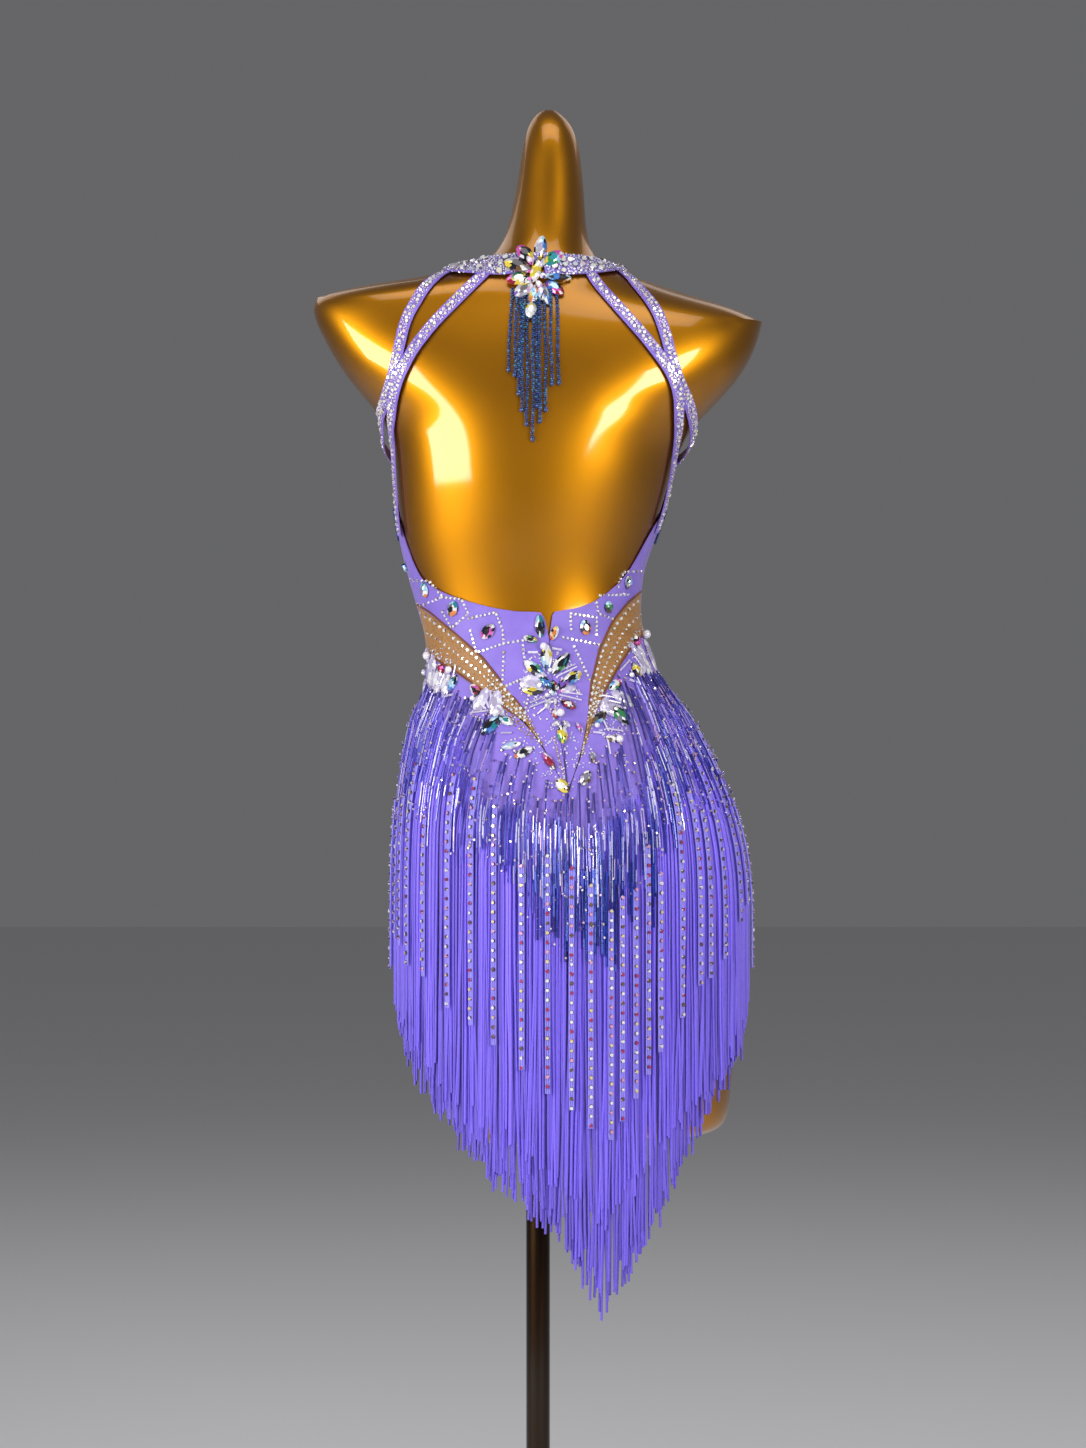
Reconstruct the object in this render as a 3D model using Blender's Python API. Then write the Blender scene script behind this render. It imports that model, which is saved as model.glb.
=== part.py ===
"""Salsa dance dress with a beaded fringe, worn by a gold limbless dress form on a stand.

Frame: metres, +Z up. The open back of the dress faces -Y, and +X is to the right seen from there,
which is the wearer's right. The origin is the middle of the base plate's underside.

Places on the figure are given as a turn and a height. Turn 0 is the centre-back seam, +90 is the
right side seam, -90 is the left one and 180 is the centre front. `out` is the distance off the form.
"""

import math
from typing import NamedTuple

import bmesh
import bpy
import numpy as np
from mathutils import Vector

MM = 0.001


class Section(NamedTuple):
    """One level cut through the form: how far it reaches each way from the stand's axis."""

    height: float
    left: float
    right: float
    back: float
    front: float
    power: float  # 2 is an ellipse, more is squarer


FORM_SECTIONS = (
    #       height  left    right   back    front   power
    Section(1.597, -0.0040, 0.0180, 0.0060, 0.0080, 2.0),
    Section(1.593, 0.0020, 0.0235, 0.0130, 0.0160, 2.0),
    Section(1.584, 0.0090, 0.0330, 0.0220, 0.0300, 2.0),
    Section(1.568, 0.0145, 0.0400, 0.0300, 0.0380, 2.0),
    Section(1.544, 0.0180, 0.0440, 0.0350, 0.0415, 2.0),
    Section(1.510, 0.0230, 0.0470, 0.0400, 0.0430, 2.0),
    Section(1.476, 0.0310, 0.0490, 0.0460, 0.0440, 2.0),
    Section(1.458, 0.0390, 0.0530, 0.0510, 0.0450, 2.0),
    Section(1.446, 0.0510, 0.0600, 0.0560, 0.0460, 2.0),
    Section(1.438, 0.0700, 0.0720, 0.0595, 0.0470, 2.0),
    Section(1.431, 0.0990, 0.0900, 0.0630, 0.0480, 2.0),
    Section(1.424, 0.1440, 0.1100, 0.0660, 0.0490, 2.1),
    Section(1.416, 0.1950, 0.1330, 0.0690, 0.0510, 2.2),
    Section(1.407, 0.2250, 0.1620, 0.0725, 0.0530, 2.3),
    Section(1.396, 0.2295, 0.2000, 0.0760, 0.0560, 2.4),
    Section(1.382, 0.2260, 0.2280, 0.0810, 0.0600, 2.5),
    Section(1.360, 0.2150, 0.2230, 0.0880, 0.0670, 2.6),
    Section(1.334, 0.2000, 0.2105, 0.0945, 0.0780, 2.6),
    Section(1.308, 0.1790, 0.1900, 0.0990, 0.0900, 2.5),
    Section(1.282, 0.1560, 0.1620, 0.1020, 0.1030, 2.3),
    Section(1.256, 0.1480, 0.1440, 0.1030, 0.1150, 2.2),
    Section(1.226, 0.1450, 0.1345, 0.1015, 0.1190, 2.2),
    Section(1.194, 0.1420, 0.1260, 0.0975, 0.1140, 2.1),
    Section(1.160, 0.1370, 0.1140, 0.0910, 0.1010, 2.1),
    Section(1.124, 0.1280, 0.1030, 0.0835, 0.0890, 2.1),
    Section(1.090, 0.1180, 0.1010, 0.0790, 0.0820, 2.1),
    Section(1.056, 0.1100, 0.1070, 0.0785, 0.0790, 2.1),
    Section(1.022, 0.1105, 0.1220, 0.0835, 0.0805, 2.1),
    Section(0.988, 0.1160, 0.1410, 0.0940, 0.0840, 2.1),
    Section(0.952, 0.1240, 0.1610, 0.1060, 0.0865, 2.1),
    Section(0.914, 0.1300, 0.1790, 0.1165, 0.0880, 2.2),
    Section(0.874, 0.1340, 0.1930, 0.1230, 0.0880, 2.2),
    Section(0.832, 0.1360, 0.2020, 0.1230, 0.0865, 2.2),
    Section(0.790, 0.1365, 0.2045, 0.1150, 0.0840, 2.2),
)


class Level(NamedTuple):
    """A place at one height, for lines that wander sideways."""

    height: float
    across: float


# The centre-back line: the hips swing to the right of the waist.
CENTRE_BACK = (
    Level(1.430, 0.004),
    Level(1.084, 0.010),
    Level(1.010, 0.015),
    Level(0.910, 0.029),
    Level(0.790, 0.034),
)


class Thigh(NamedTuple):
    """One ring of a thigh stub: its middle, its half width and depth, and how round it has become."""

    height: float
    across: float
    forward: float
    half_width: float
    half_depth: float
    roundness: float


LEFT_THIGH = (
    Thigh(0.768, -0.049, -0.012, 0.084, 0.094, 0.35),
    Thigh(0.735, -0.044, -0.009, 0.081, 0.088, 0.75),
    Thigh(0.690, -0.035, -0.006, 0.077, 0.082, 1.0),
    Thigh(0.640, -0.026, -0.004, 0.073, 0.077, 1.0),
    Thigh(0.596, -0.017, -0.003, 0.068, 0.072, 1.0),
    Thigh(0.576, -0.015, -0.002, 0.0655, 0.069, 1.0),
    Thigh(0.563, -0.012, -0.001, 0.060, 0.063, 1.0),
    Thigh(0.555, -0.009, 0.000, 0.050, 0.052, 1.0),
    Thigh(0.551, -0.006, 0.000, 0.038, 0.039, 1.0),
)
RIGHT_THIGH = (
    Thigh(0.768, 0.118, -0.012, 0.084, 0.094, 0.35),
    Thigh(0.735, 0.120, -0.009, 0.081, 0.088, 0.75),
    Thigh(0.690, 0.123, -0.006, 0.077, 0.082, 1.0),
    Thigh(0.640, 0.125, -0.004, 0.073, 0.077, 1.0),
    Thigh(0.600, 0.126, -0.003, 0.069, 0.072, 1.0),
    Thigh(0.582, 0.125, -0.002, 0.0675, 0.070, 1.0),
    Thigh(0.570, 0.124, -0.001, 0.063, 0.065, 1.0),
    Thigh(0.564, 0.123, 0.000, 0.053, 0.055, 1.0),
    Thigh(0.560, 0.122, 0.000, 0.038, 0.039, 1.0),
)
FORM_SIDES = 32
CROTCH_POINTS = 9
CROTCH_HEIGHT = 0.790

POLE_RADIUS = 0.012
POLE_CLEARANCE = 0.5 * MM
POLE_IN_THIGH = 0.060
BASE_RADIUS = 0.190
BASE_THICKNESS = 0.009
HUB_RADIUS = 0.020
HUB_TOP = 0.044
HUB_FLOOR = 0.005

# Cloth lies in layers off the form: each is (inner face, outer face).
CLOTH = 1.2 * MM
BODY_LAYER = (1.5 * MM, 1.5 * MM + CLOTH)
COLLAR_LAYER = (3.5 * MM, 3.5 * MM + CLOTH)
MOTIF_THICKNESS = 2.0 * MM
TASSEL_LAYER = (1.3 * MM, 4.6 * MM)
BUST_TASSEL_LAYER = (6.6 * MM, 8.2 * MM)
FRINGE_UNDER = (4.0 * MM, 6.2 * MM)
FRINGE_OVER = (7.6 * MM, 9.8 * MM)
FRINGE_RIPPLE = 0.6 * MM
FRINGE_TEETH = 5.0 * MM
SEAM = 0.3 * MM
SKIRT_HEM = 0.745
HANG_HEIGHT = 0.860
FRINGE_FALL = 0.790
ROW_PITCH = 0.033

STRAP_WIDTH = 0.0115
COLLAR_OPENING = 1.2  # degrees each side of the centre back
BODICE_STAND = 3.0 * MM
STAR_RINGS = (0.4, 0.7, 1.0)
STRAP_PITCH = 0.012


# --- smooth tables -------------------------------------------------------------------------------


def slopes(places, values):
    """Slopes for a smooth curve through a table that never overshoots its rows."""
    steps = np.diff(values) / np.diff(places)
    inner = [2 * a * b / (a + b) if a * b > 0 else 0.0 for a, b in zip(steps, steps[1:])]
    return np.array([steps[0], *inner, steps[-1]])


class Curve:
    """A smooth curve through rows of (place, value), held level past both ends."""

    def __init__(self, rows):
        rows = sorted(rows)
        self.places = np.array([row[0] for row in rows])
        self.values = np.array([row[1] for row in rows])
        self.slopes = slopes(self.places, self.values)

    def __call__(self, place):
        place = min(max(place, self.places[0]), self.places[-1])
        i = min(int(np.searchsorted(self.places, place, side="right")) - 1, len(self.places) - 2)
        width = self.places[i + 1] - self.places[i]
        u = (place - self.places[i]) / width
        a, b = self.values[i], self.values[i + 1]
        da, db = self.slopes[i] * width, self.slopes[i + 1] * width
        rise = 3 * (b - a) - 2 * da - db
        return a + u * (da + u * (rise + u * (da + db - 2 * (b - a))))


FORM_CURVES = {
    name: Curve([(row.height, getattr(row, name)) for row in FORM_SECTIONS])
    for name in ("left", "right", "back", "front", "power")
}
CENTRE_BACK_CURVE = Curve(CENTRE_BACK)


# --- the figure's surface ------------------------------------------------------------------------


def reach(name, height, hangs):
    """How far the form reaches one way. Hanging cloth falls straight down from the widest of the hips."""
    value = FORM_CURVES[name](height)
    if hangs and height < HANG_HEIGHT:
        return max(value, FORM_CURVES[name](HANG_HEIGHT))
    return value


def cut(height, hangs=True):
    """The middle, half width, back, front and power of the cut at a height."""
    left, right = reach("left", height, hangs), reach("right", height, hangs)
    return (
        (right - left) / 2,
        (right + left) / 2,
        reach("back", height, hangs),
        reach("front", height, hangs),
        FORM_CURVES["power"](height),
    )


def on_cut(angle, height, hangs=True):
    """The point of a cut at a true angle in degrees: 0 is straight back and +90 is to the right."""
    middle, half_width, back, front, power = cut(height, hangs)
    angle = math.radians(angle)
    depth = back if math.cos(angle) > 0 else front
    return Vector(
        (
            middle + half_width * signed_power(math.sin(angle), 2 / power),
            -depth * signed_power(math.cos(angle), 2 / power),
            height,
        )
    )


def signed_power(value, power):
    return math.copysign(abs(value) ** power, value)


def seam_swing(height):
    """The true angle of the centre-back line at a height."""
    middle, half_width, _, _, power = cut(height)
    share = (CENTRE_BACK_CURVE(height) - middle) / half_width
    return math.degrees(math.asin(signed_power(share, power / 2)))


def on_form(turn, height):
    """The point of the form's surface at a turn and a height."""
    return on_cut(turn + seam_swing(height) * max(0.0, 1 - abs(turn) / 90), height)


def off_form(turn, height, out):
    """A point at the distance `out` from the form, square to its surface."""
    wide, tall = 1.5, 0.003
    along = on_form(turn + wide, height) - on_form(turn - wide, height)
    up = on_form(turn, height + tall) - on_form(turn, height - tall)
    return on_form(turn, height) + along.cross(up).normalized() * out


def turn_of(across, height):
    """The turn, on the back, of a point given by how far across it is."""
    middle, half_width, _, _, power = cut(height)
    share = min(max((across - middle) / half_width, -1.0), 1.0)
    return unswung(math.degrees(math.asin(signed_power(share, power / 2))), height)


def unswung(angle, height):
    """The turn of a true angle in degrees, found by undoing the swing of the centre-back line."""
    if abs(angle) >= 90.0:
        return angle
    swing = seam_swing(height)
    side = 1 if angle > swing else -1
    return (angle - swing) / (1 - side * swing / 90)


def turn_at(place):
    """The turn of a point on or near the form's surface."""
    middle, half_width, back, front, power = cut(place.z)
    depth = back if place.y < 0 else front
    sine = signed_power((place.x - middle) / half_width, power / 2)
    cosine = signed_power(-place.y / depth, power / 2)
    return unswung(math.degrees(math.atan2(sine, cosine)), place.z)


def back_line(*rows):
    """A curve of height against turn, from rows of (across, height) on the back."""
    return [(turn_of(across, height), height) for across, height in rows]


# --- the pattern's lines -------------------------------------------------------------------------

SIDE = 90.0
FRONT = 180.0

# The lower edge of the open back, which is the top of the two back waist panels.
BACK_OPENING = Curve(
    [(-SIDE, 1.190), (-78.0, 1.178)]
    + back_line(
        (-0.126, 1.134),
        (-0.098, 1.110),
        (-0.068, 1.098),
        (-0.033, 1.089),
        (-0.001, 1.085),
        (0.010, 1.070),
        (0.020, 1.086),
        (0.047, 1.094),
        (0.072, 1.110),
        (0.094, 1.136),
    )
    + [(76.0, 1.182), (SIDE, 1.190)]
)
# The upper edge of the bare-look mesh inserts, and past their tips the point of the waist panels.
INSERT_TOP = Curve(
    [(-SIDE, 1.098)]
    + back_line(
        (-0.108, 1.088),
        (-0.081, 1.065),
        (-0.055, 1.042),
        (-0.033, 1.014),
        (-0.013, 0.988),
        (0.008, 0.948),
        (0.029, 0.910),
        (0.044, 0.950),
        (0.050, 0.988),
        (0.053, 1.016),
        (0.061, 1.050),
        (0.074, 1.078),
        (0.090, 1.098),
    )
    + [(SIDE, 1.112)]
)
# The lower edge of the inserts, which is the top of the skirt.
INSERT_BOTTOM = Curve(
    [(-SIDE, 1.050)]
    + back_line(
        (-0.102, 1.041),
        (-0.077, 1.025),
        (-0.053, 1.008),
        (-0.033, 0.992),
        (-0.013, 0.978),
        (0.008, 0.948),
        (0.029, 0.910),
        (0.044, 0.950),
        (0.055, 0.982),
        (0.066, 1.008),
        (0.082, 1.036),
        (0.098, 1.060),
    )
    + [(SIDE, 1.070)]
)
INSERT_TIPS = (turn_of(-0.013, 0.984), turn_of(0.052, 0.986))

# The front bodice: its neck and armhole edge, and its point at the front of the hips.
BODICE_TOP = Curve(
    [
        (90.0, 1.190),
        (95.0, 1.208),
        (100.0, 1.236),
        (106.0, 1.258),
        (116.0, 1.282),
        (128.0, 1.300),
        (140.0, 1.334),
        (151.0, 1.384),
        (160.0, 1.414),
        (170.0, 1.4175),
        (180.0, 1.4155),
    ]
)
BODICE_BOTTOM = Curve(
    [(90.0, 1.060), (110.0, 1.036), (135.0, 1.000), (158.0, 0.966), (180.0, 0.940)]
)

# The collar band's two edges, the same on both sides.
COLLAR_TOP = Curve(
    [(0.0, 1.4445), (40.0, 1.4425), (70.0, 1.4395), (90.0, 1.4385), (125.0, 1.4375), (180.0, 1.4360)]
)
COLLAR_BOTTOM = Curve(
    [(0.0, 1.4205), (35.0, 1.4250), (62.0, 1.4300), (90.0, 1.4320), (125.0, 1.4260), (180.0, 1.4150)]
)

# Where the fringe is sewn on, and its two hems, by turn all round.
FRINGE_TOP = Curve(
    [(-180.0, 0.925), (-135.0, 0.960), (-SIDE, 0.994)]
    + back_line((-0.075, 0.960), (-0.030, 0.926), (0.032, 0.880), (0.080, 0.924), (0.125, 0.984))
    + [(SIDE, 1.010), (135.0, 0.965), (180.0, 0.925)]
)
UNDER_HEM = Curve(
    [(-180.0, 0.700), (-140.0, 0.700), (-SIDE, 0.690)]
    + back_line(
        (-0.118, 0.632),
        (-0.070, 0.565),
        (-0.022, 0.512),
        (0.022, 0.474),
        (0.048, 0.428),
        (0.064, 0.406),
        (0.082, 0.430),
        (0.106, 0.478),
        (0.130, 0.532),
        (0.160, 0.592),
    )
    + [(66.0, 0.645), (SIDE, 0.690), (140.0, 0.700), (180.0, 0.700)]
)
OVER_HEM = Curve(
    [(-180.0, 0.730), (-140.0, 0.730), (-SIDE, 0.712)]
    + back_line(
        (-0.118, 0.664),
        (-0.070, 0.606),
        (-0.022, 0.562),
        (0.022, 0.526),
        (0.062, 0.492),
        (0.098, 0.540),
        (0.140, 0.592),
    )
    + [(66.0, 0.664), (SIDE, 0.706), (140.0, 0.730), (180.0, 0.730)]
)


class Step(NamedTuple):
    """One point of a strap's middle line, on the back: across, height, and how far it is off the form."""

    across: float
    height: float
    lift: float


class Wrap(NamedTuple):
    """One point of a strap's middle line where it goes round the side of the figure."""

    turn: float
    height: float
    lift: float


# The shoulder strap runs from under the collar, over the shoulder blade and loosely under the arm
# to the bodice. The back strap runs inside it, crosses it at the armhole and edges the open back.
SHOULDER_STRAPS = {
    "left": (
        (Step(-0.074, 1.4330, 1.5 * MM), Step(-0.090, 1.428, 1.5 * MM), Step(-0.104, 1.4185, 1.5 * MM),
         Step(-0.1185, 1.4005, 1.5 * MM), Step(-0.129, 1.382, 1.5 * MM), Step(-0.135, 1.362, 1.5 * MM),
         Step(-0.1385, 1.344, 1.5 * MM), Step(-0.142, 1.328, 1.5 * MM), Step(-0.147, 1.3125, 1.5 * MM),
         Step(-0.152, 1.298, 2.0 * MM), Step(-0.155, 1.284, 3.6 * MM)),
        (Wrap(-84.0, 1.269, 6.6 * MM), Wrap(-92.0, 1.260, 7.8 * MM), Wrap(-101.0, 1.252, 7.4 * MM),
         Wrap(-109.0, 1.245, 7.2 * MM)),
    ),
    "right": (
        (Step(0.078, 1.4330, 1.5 * MM), Step(0.096, 1.4165, 1.5 * MM), Step(0.110, 1.3985, 1.5 * MM),
         Step(0.1205, 1.380, 1.5 * MM), Step(0.1272, 1.360, 1.5 * MM), Step(0.1315, 1.341, 1.5 * MM),
         Step(0.136, 1.326, 1.5 * MM), Step(0.1415, 1.312, 1.5 * MM), Step(0.148, 1.299, 1.8 * MM),
         Step(0.152, 1.287, 2.8 * MM)),
        (Wrap(80.0, 1.271, 6.2 * MM), Wrap(90.0, 1.261, 7.8 * MM), Wrap(100.0, 1.252, 7.4 * MM),
         Wrap(109.0, 1.245, 7.2 * MM)),
    ),
}
BACK_STRAPS = {
    "left": (
        (Step(-0.050, 1.427, 1.5 * MM), Step(-0.0635, 1.4145, 1.5 * MM), Step(-0.0785, 1.3997, 1.5 * MM),
         Step(-0.0996, 1.3776, 1.6 * MM), Step(-0.1164, 1.3566, 2.6 * MM), Step(-0.1295, 1.3355, 3.4 * MM),
         Step(-0.1375, 1.319, 3.4 * MM), Step(-0.142, 1.304, 3.4 * MM), Step(-0.1438, 1.288, 3.4 * MM),
         Step(-0.1445, 1.270, 3.2 * MM)),
        (Wrap(-75.0, 1.250, 3.0 * MM), Wrap(-77.0, 1.218, 3.0 * MM), Wrap(-78.5, 1.190, 3.4 * MM),
         Wrap(-80.0, 1.166, 3.5 * MM)),
    ),
    "right": (
        (Step(0.052, 1.426, 1.5 * MM), Step(0.0665, 1.405, 1.5 * MM), Step(0.0865, 1.382, 1.5 * MM),
         Step(0.1055, 1.3597, 2.2 * MM), Step(0.1195, 1.341, 3.2 * MM), Step(0.130, 1.326, 3.4 * MM),
         Step(0.1365, 1.311, 3.4 * MM), Step(0.1388, 1.295, 3.4 * MM), Step(0.1382, 1.277, 3.4 * MM),
         Step(0.1362, 1.258, 3.2 * MM), Step(0.1332, 1.239, 3.0 * MM)),
        (Wrap(77.0, 1.222, 3.0 * MM), Wrap(78.5, 1.198, 3.4 * MM), Wrap(80.0, 1.170, 3.5 * MM)),
    ),
}


class Star(NamedTuple):
    """A stone-covered motif sewn on the dress: its middle on the back, its size and its points."""

    across: float
    height: float
    half_width: float
    half_height: float
    points: int
    valley: float  # the inner corners, as a share of the outer ones
    lean: float  # degrees
    seat: float  # how far its back is off the form


BROOCH = Star(0.001, 1.4215, 0.031, 0.043, 12, 0.62, 0.0, 5.6 * MM)
APPLIQUES = {
    "applique_centre": Star(0.014, 1.006, 0.033, 0.050, 10, 0.60, 0.0, 4.2 * MM),
    "applique_point": Star(0.032, 0.922, 0.026, 0.030, 8, 0.62, 20.0, 3.4 * MM),
    "applique_left_inner": Star(-0.036, 0.976, 0.026, 0.023, 8, 0.60, 30.0, 3.4 * MM),
    "applique_right_inner": Star(0.074, 0.972, 0.022, 0.025, 8, 0.60, -20.0, 3.4 * MM),
    "applique_left_hip": Star(-0.096, 1.024, 0.021, 0.022, 8, 0.62, 0.0, 4.0 * MM),
    "applique_right_hip": Star(0.100, 1.040, 0.018, 0.022, 8, 0.62, 0.0, 4.2 * MM),
}

# The brooch's bead tassel: its lowest bead at each place across.
TASSEL_TOP = 1.4160
TASSEL_ENDS = (
    Level(1.322, -0.0315),
    Level(1.314, -0.0240),
    Level(1.288, -0.0180),
    Level(1.270, -0.0120),
    Level(1.256, -0.0060),
    Level(1.272, 0.0010),
    Level(1.285, 0.0090),
    Level(1.308, 0.0165),
    Level(1.310, 0.0250),
)
BUST_TASSEL_TURNS = (94.0, 98.0, 102.0, 106.0)
BUST_TASSEL_TOP = 1.196
BUST_TASSEL_LENGTHS = (0.022, 0.030, 0.034, 0.026)


# --- materials and mesh helpers ------------------------------------------------------------------

FINISHES = {
    #              red   green blue   roughness metallic
    "lavender": (0.36, 0.25, 0.86, 0.45, 0.0),
    "nude_mesh": (0.50, 0.30, 0.12, 0.60, 0.0),
    "fringe": (0.27, 0.20, 0.86, 0.40, 0.0),
    "navy_beads": (0.02, 0.05, 0.25, 0.20, 0.0),
    "crystal": (0.80, 0.78, 0.85, 0.10, 0.6),
    "gold": (0.80, 0.50, 0.08, 0.18, 1.0),
    "bronze": (0.16, 0.09, 0.03, 0.30, 1.0),
}


def material(finish):
    """The named finish as a Principled material, made once."""
    made = bpy.data.materials.get(finish)
    if made:
        return made
    red, green, blue, roughness, metallic = FINISHES[finish]
    made = bpy.data.materials.new(finish)
    made.use_nodes = True
    shader = made.node_tree.nodes["Principled BSDF"]
    shader.inputs["Base Color"].default_value = (red, green, blue, 1.0)
    shader.inputs["Roughness"].default_value = roughness
    shader.inputs["Metallic"].default_value = metallic
    return made


def add_object(name, points, faces, finish):
    """A mesh object with its faces pointing out."""
    mesh = bpy.data.meshes.new(name)
    mesh.from_pydata([tuple(p) for p in points], [], faces)
    shape = bmesh.new()
    shape.from_mesh(mesh)
    bmesh.ops.recalc_face_normals(shape, faces=shape.faces)
    shape.to_mesh(mesh)
    shape.free()
    mesh.shade_smooth()
    mesh.set_sharp_from_angle(angle=math.radians(40))
    mesh.materials.append(material(finish))
    obj = bpy.data.objects.new(name, mesh)
    bpy.context.scene.collection.objects.link(obj)
    return obj


def wall(name, inner, outer, finish):
    """A closed wall between two matching grids of points, each a list of columns."""
    columns, rows = len(inner), len(inner[0])
    points = [p for grid in (inner, outer) for column in grid for p in column]

    def at(side, i, j):
        return (side * columns + i) * rows + j

    faces = []
    for i in range(columns - 1):
        for j in range(rows - 1):
            for side in (0, 1):
                faces.append((at(side, i, j), at(side, i + 1, j), at(side, i + 1, j + 1), at(side, i, j + 1)))
        for j in (0, rows - 1):
            faces.append((at(0, i, j), at(0, i + 1, j), at(1, i + 1, j), at(1, i, j)))
    for j in range(rows - 1):
        for i in (0, columns - 1):
            faces.append((at(0, i, j), at(0, i, j + 1), at(1, i, j + 1), at(1, i, j)))
    return add_object(name, points, faces, finish)


def spaced(first, last, most):
    """Evenly spaced numbers from first to last, no further apart than `most`."""
    return split(first, last, math.ceil(abs(last - first) / most))


def split(first, last, count):
    """A stretch cut into `count` equal steps."""
    return [first + (last - first) * i / count for i in range(count + 1)]


def slope_gap(edge, turn):
    """Half a seam, measured straight up, where an edge climbs."""
    step = 2.0
    run = (on_form(turn + step, edge(turn)) - on_form(turn - step, edge(turn))).length
    climb = (edge(turn + step) - edge(turn - step)) / max(run, 1e-6)
    return SEAM / 2 * math.hypot(1.0, climb)


def lies_flat(turn, height):
    """Cloth that lies on the form with no extra room."""
    return 0.0


def panel(name, turns, bottom, top, rows=None, seams=(True, True), stand=lies_flat, layer=BODY_LAYER,
          finish="lavender"):
    """A cloth panel over a range of turns, between two edge curves.

    `seams` says whether its lower and its upper edge keep half a seam clear, and `stand` is the room
    between the form and its usual place at a turn and a height.
    """
    lows = [bottom(t) + (slope_gap(bottom, t) if seams[0] else 0.0) for t in turns]
    highs = [top(t) - (slope_gap(top, t) if seams[1] else 0.0) for t in turns]
    tallest = max(high - low for low, high in zip(lows, highs))
    count = rows or max(1, math.ceil(tallest / ROW_PITCH))
    grids = []
    for out in layer:
        grids.append(
            [
                [off_form(t, z, out + stand(t, z)) for z in split(low, high, count)]
                for t, low, high in zip(turns, lows, highs)
            ]
        )
    return wall(name, *grids, finish)


def seam_turn(height=1.0):
    """Half a seam as a turn."""
    return math.degrees(SEAM / 2 / cut(height)[1]) * 1.6


# --- the dress form and its stand ----------------------------------------------------------------


def form_ring(height):
    """The points of one ring round the form, from the centre back round by the right side."""
    return [on_cut(360 * i / FORM_SIDES, height, hangs=False) for i in range(FORM_SIDES)]


def thigh_ring(thigh, start, side):
    """A ring of a thigh stub, part way from the split hips to an ellipse."""
    outer = FORM_SIDES // 2
    ring = []
    for i, from_hips in enumerate(start):
        if i <= outer:
            angle = math.pi * i / outer
        else:
            angle = math.pi * (1 + (i - outer) / (CROTCH_POINTS + 1))
        if side < 0:
            angle += math.pi
        ellipse = Vector(
            (
                thigh.across + thigh.half_width * math.sin(angle),
                thigh.forward - thigh.half_depth * math.cos(angle),
                thigh.height,
            )
        )
        point = from_hips.lerp(ellipse, thigh.roundness)
        point.z = thigh.height
        ring.append(point)
    return ring


def build_form():
    """The torso, neck, shoulder caps and thigh stubs as one moulded solid, with a pole socket."""
    points, faces = [], []

    def add_ring(ring):
        points.extend(ring)
        return list(range(len(points) - len(ring), len(points)))

    def join(upper, lower):
        count = len(upper)
        for i in range(count):
            faces.append((upper[i], upper[(i + 1) % count], lower[(i + 1) % count], lower[i]))

    heights = [row.height for row in FORM_SECTIONS]
    rings = [add_ring(form_ring(height)) for height in heights]
    faces.append(tuple(rings[0]))
    for upper, lower in zip(rings, rings[1:]):
        join(upper, lower)

    hips = rings[-1]
    half = FORM_SIDES // 2
    back_point, front_point = points[hips[0]], points[hips[half]]
    crotch = add_ring(
        [front_point.lerp(back_point, (i + 1) / (CROTCH_POINTS + 1)) for i in range(CROTCH_POINTS)]
    )
    legs = (
        (RIGHT_THIGH, hips[: half + 1] + crotch, 1),
        (LEFT_THIGH, hips[half:] + [hips[0]] + crotch[::-1], -1),
    )
    for table, start, side in legs:
        start_points = [points[i] for i in start]
        upper = start
        for thigh in table:
            lower = add_ring(thigh_ring(thigh, start_points, side))
            join(upper, lower)
            upper = lower
        if side > 0:
            faces.append(tuple(upper))
            continue
        socket = POLE_RADIUS + POLE_CLEARANCE
        count = len(upper)
        bottom = table[-1].height
        for height in (bottom, bottom + POLE_IN_THIGH):
            ring = []
            for i in range(count):
                offset = points[upper[i]] - Vector((0, 0, points[upper[i]].z))
                ring.append(Vector((*(offset.xy.normalized() * socket), height)))
            lower = add_ring(ring)
            join(upper, lower)
            upper = lower
        faces.append(tuple(upper))
    return add_object("form", points, faces, "gold")


def lathe(name, profile, sides, finish):
    """A turned solid from a profile of (radius, height) that starts and ends on the axis."""
    points = [Vector((0, 0, profile[0][1]))]
    for radius, height in profile[1:-1]:
        for i in range(sides):
            angle = 2 * math.pi * i / sides
            points.append(Vector((radius * math.cos(angle), radius * math.sin(angle), height)))
    points.append(Vector((0, 0, profile[-1][1])))
    rings = len(profile) - 2
    faces = []
    for i in range(sides):
        nxt = (i + 1) % sides
        faces.append((0, 1 + i, 1 + nxt))
        for r in range(rings - 1):
            a, b = 1 + r * sides, 1 + (r + 1) * sides
            faces.append((a + i, b + i, b + nxt, a + nxt))
        last = 1 + (rings - 1) * sides
        faces.append((last + i, len(points) - 1, last + nxt))
    return add_object(name, points, faces, finish)


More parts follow.
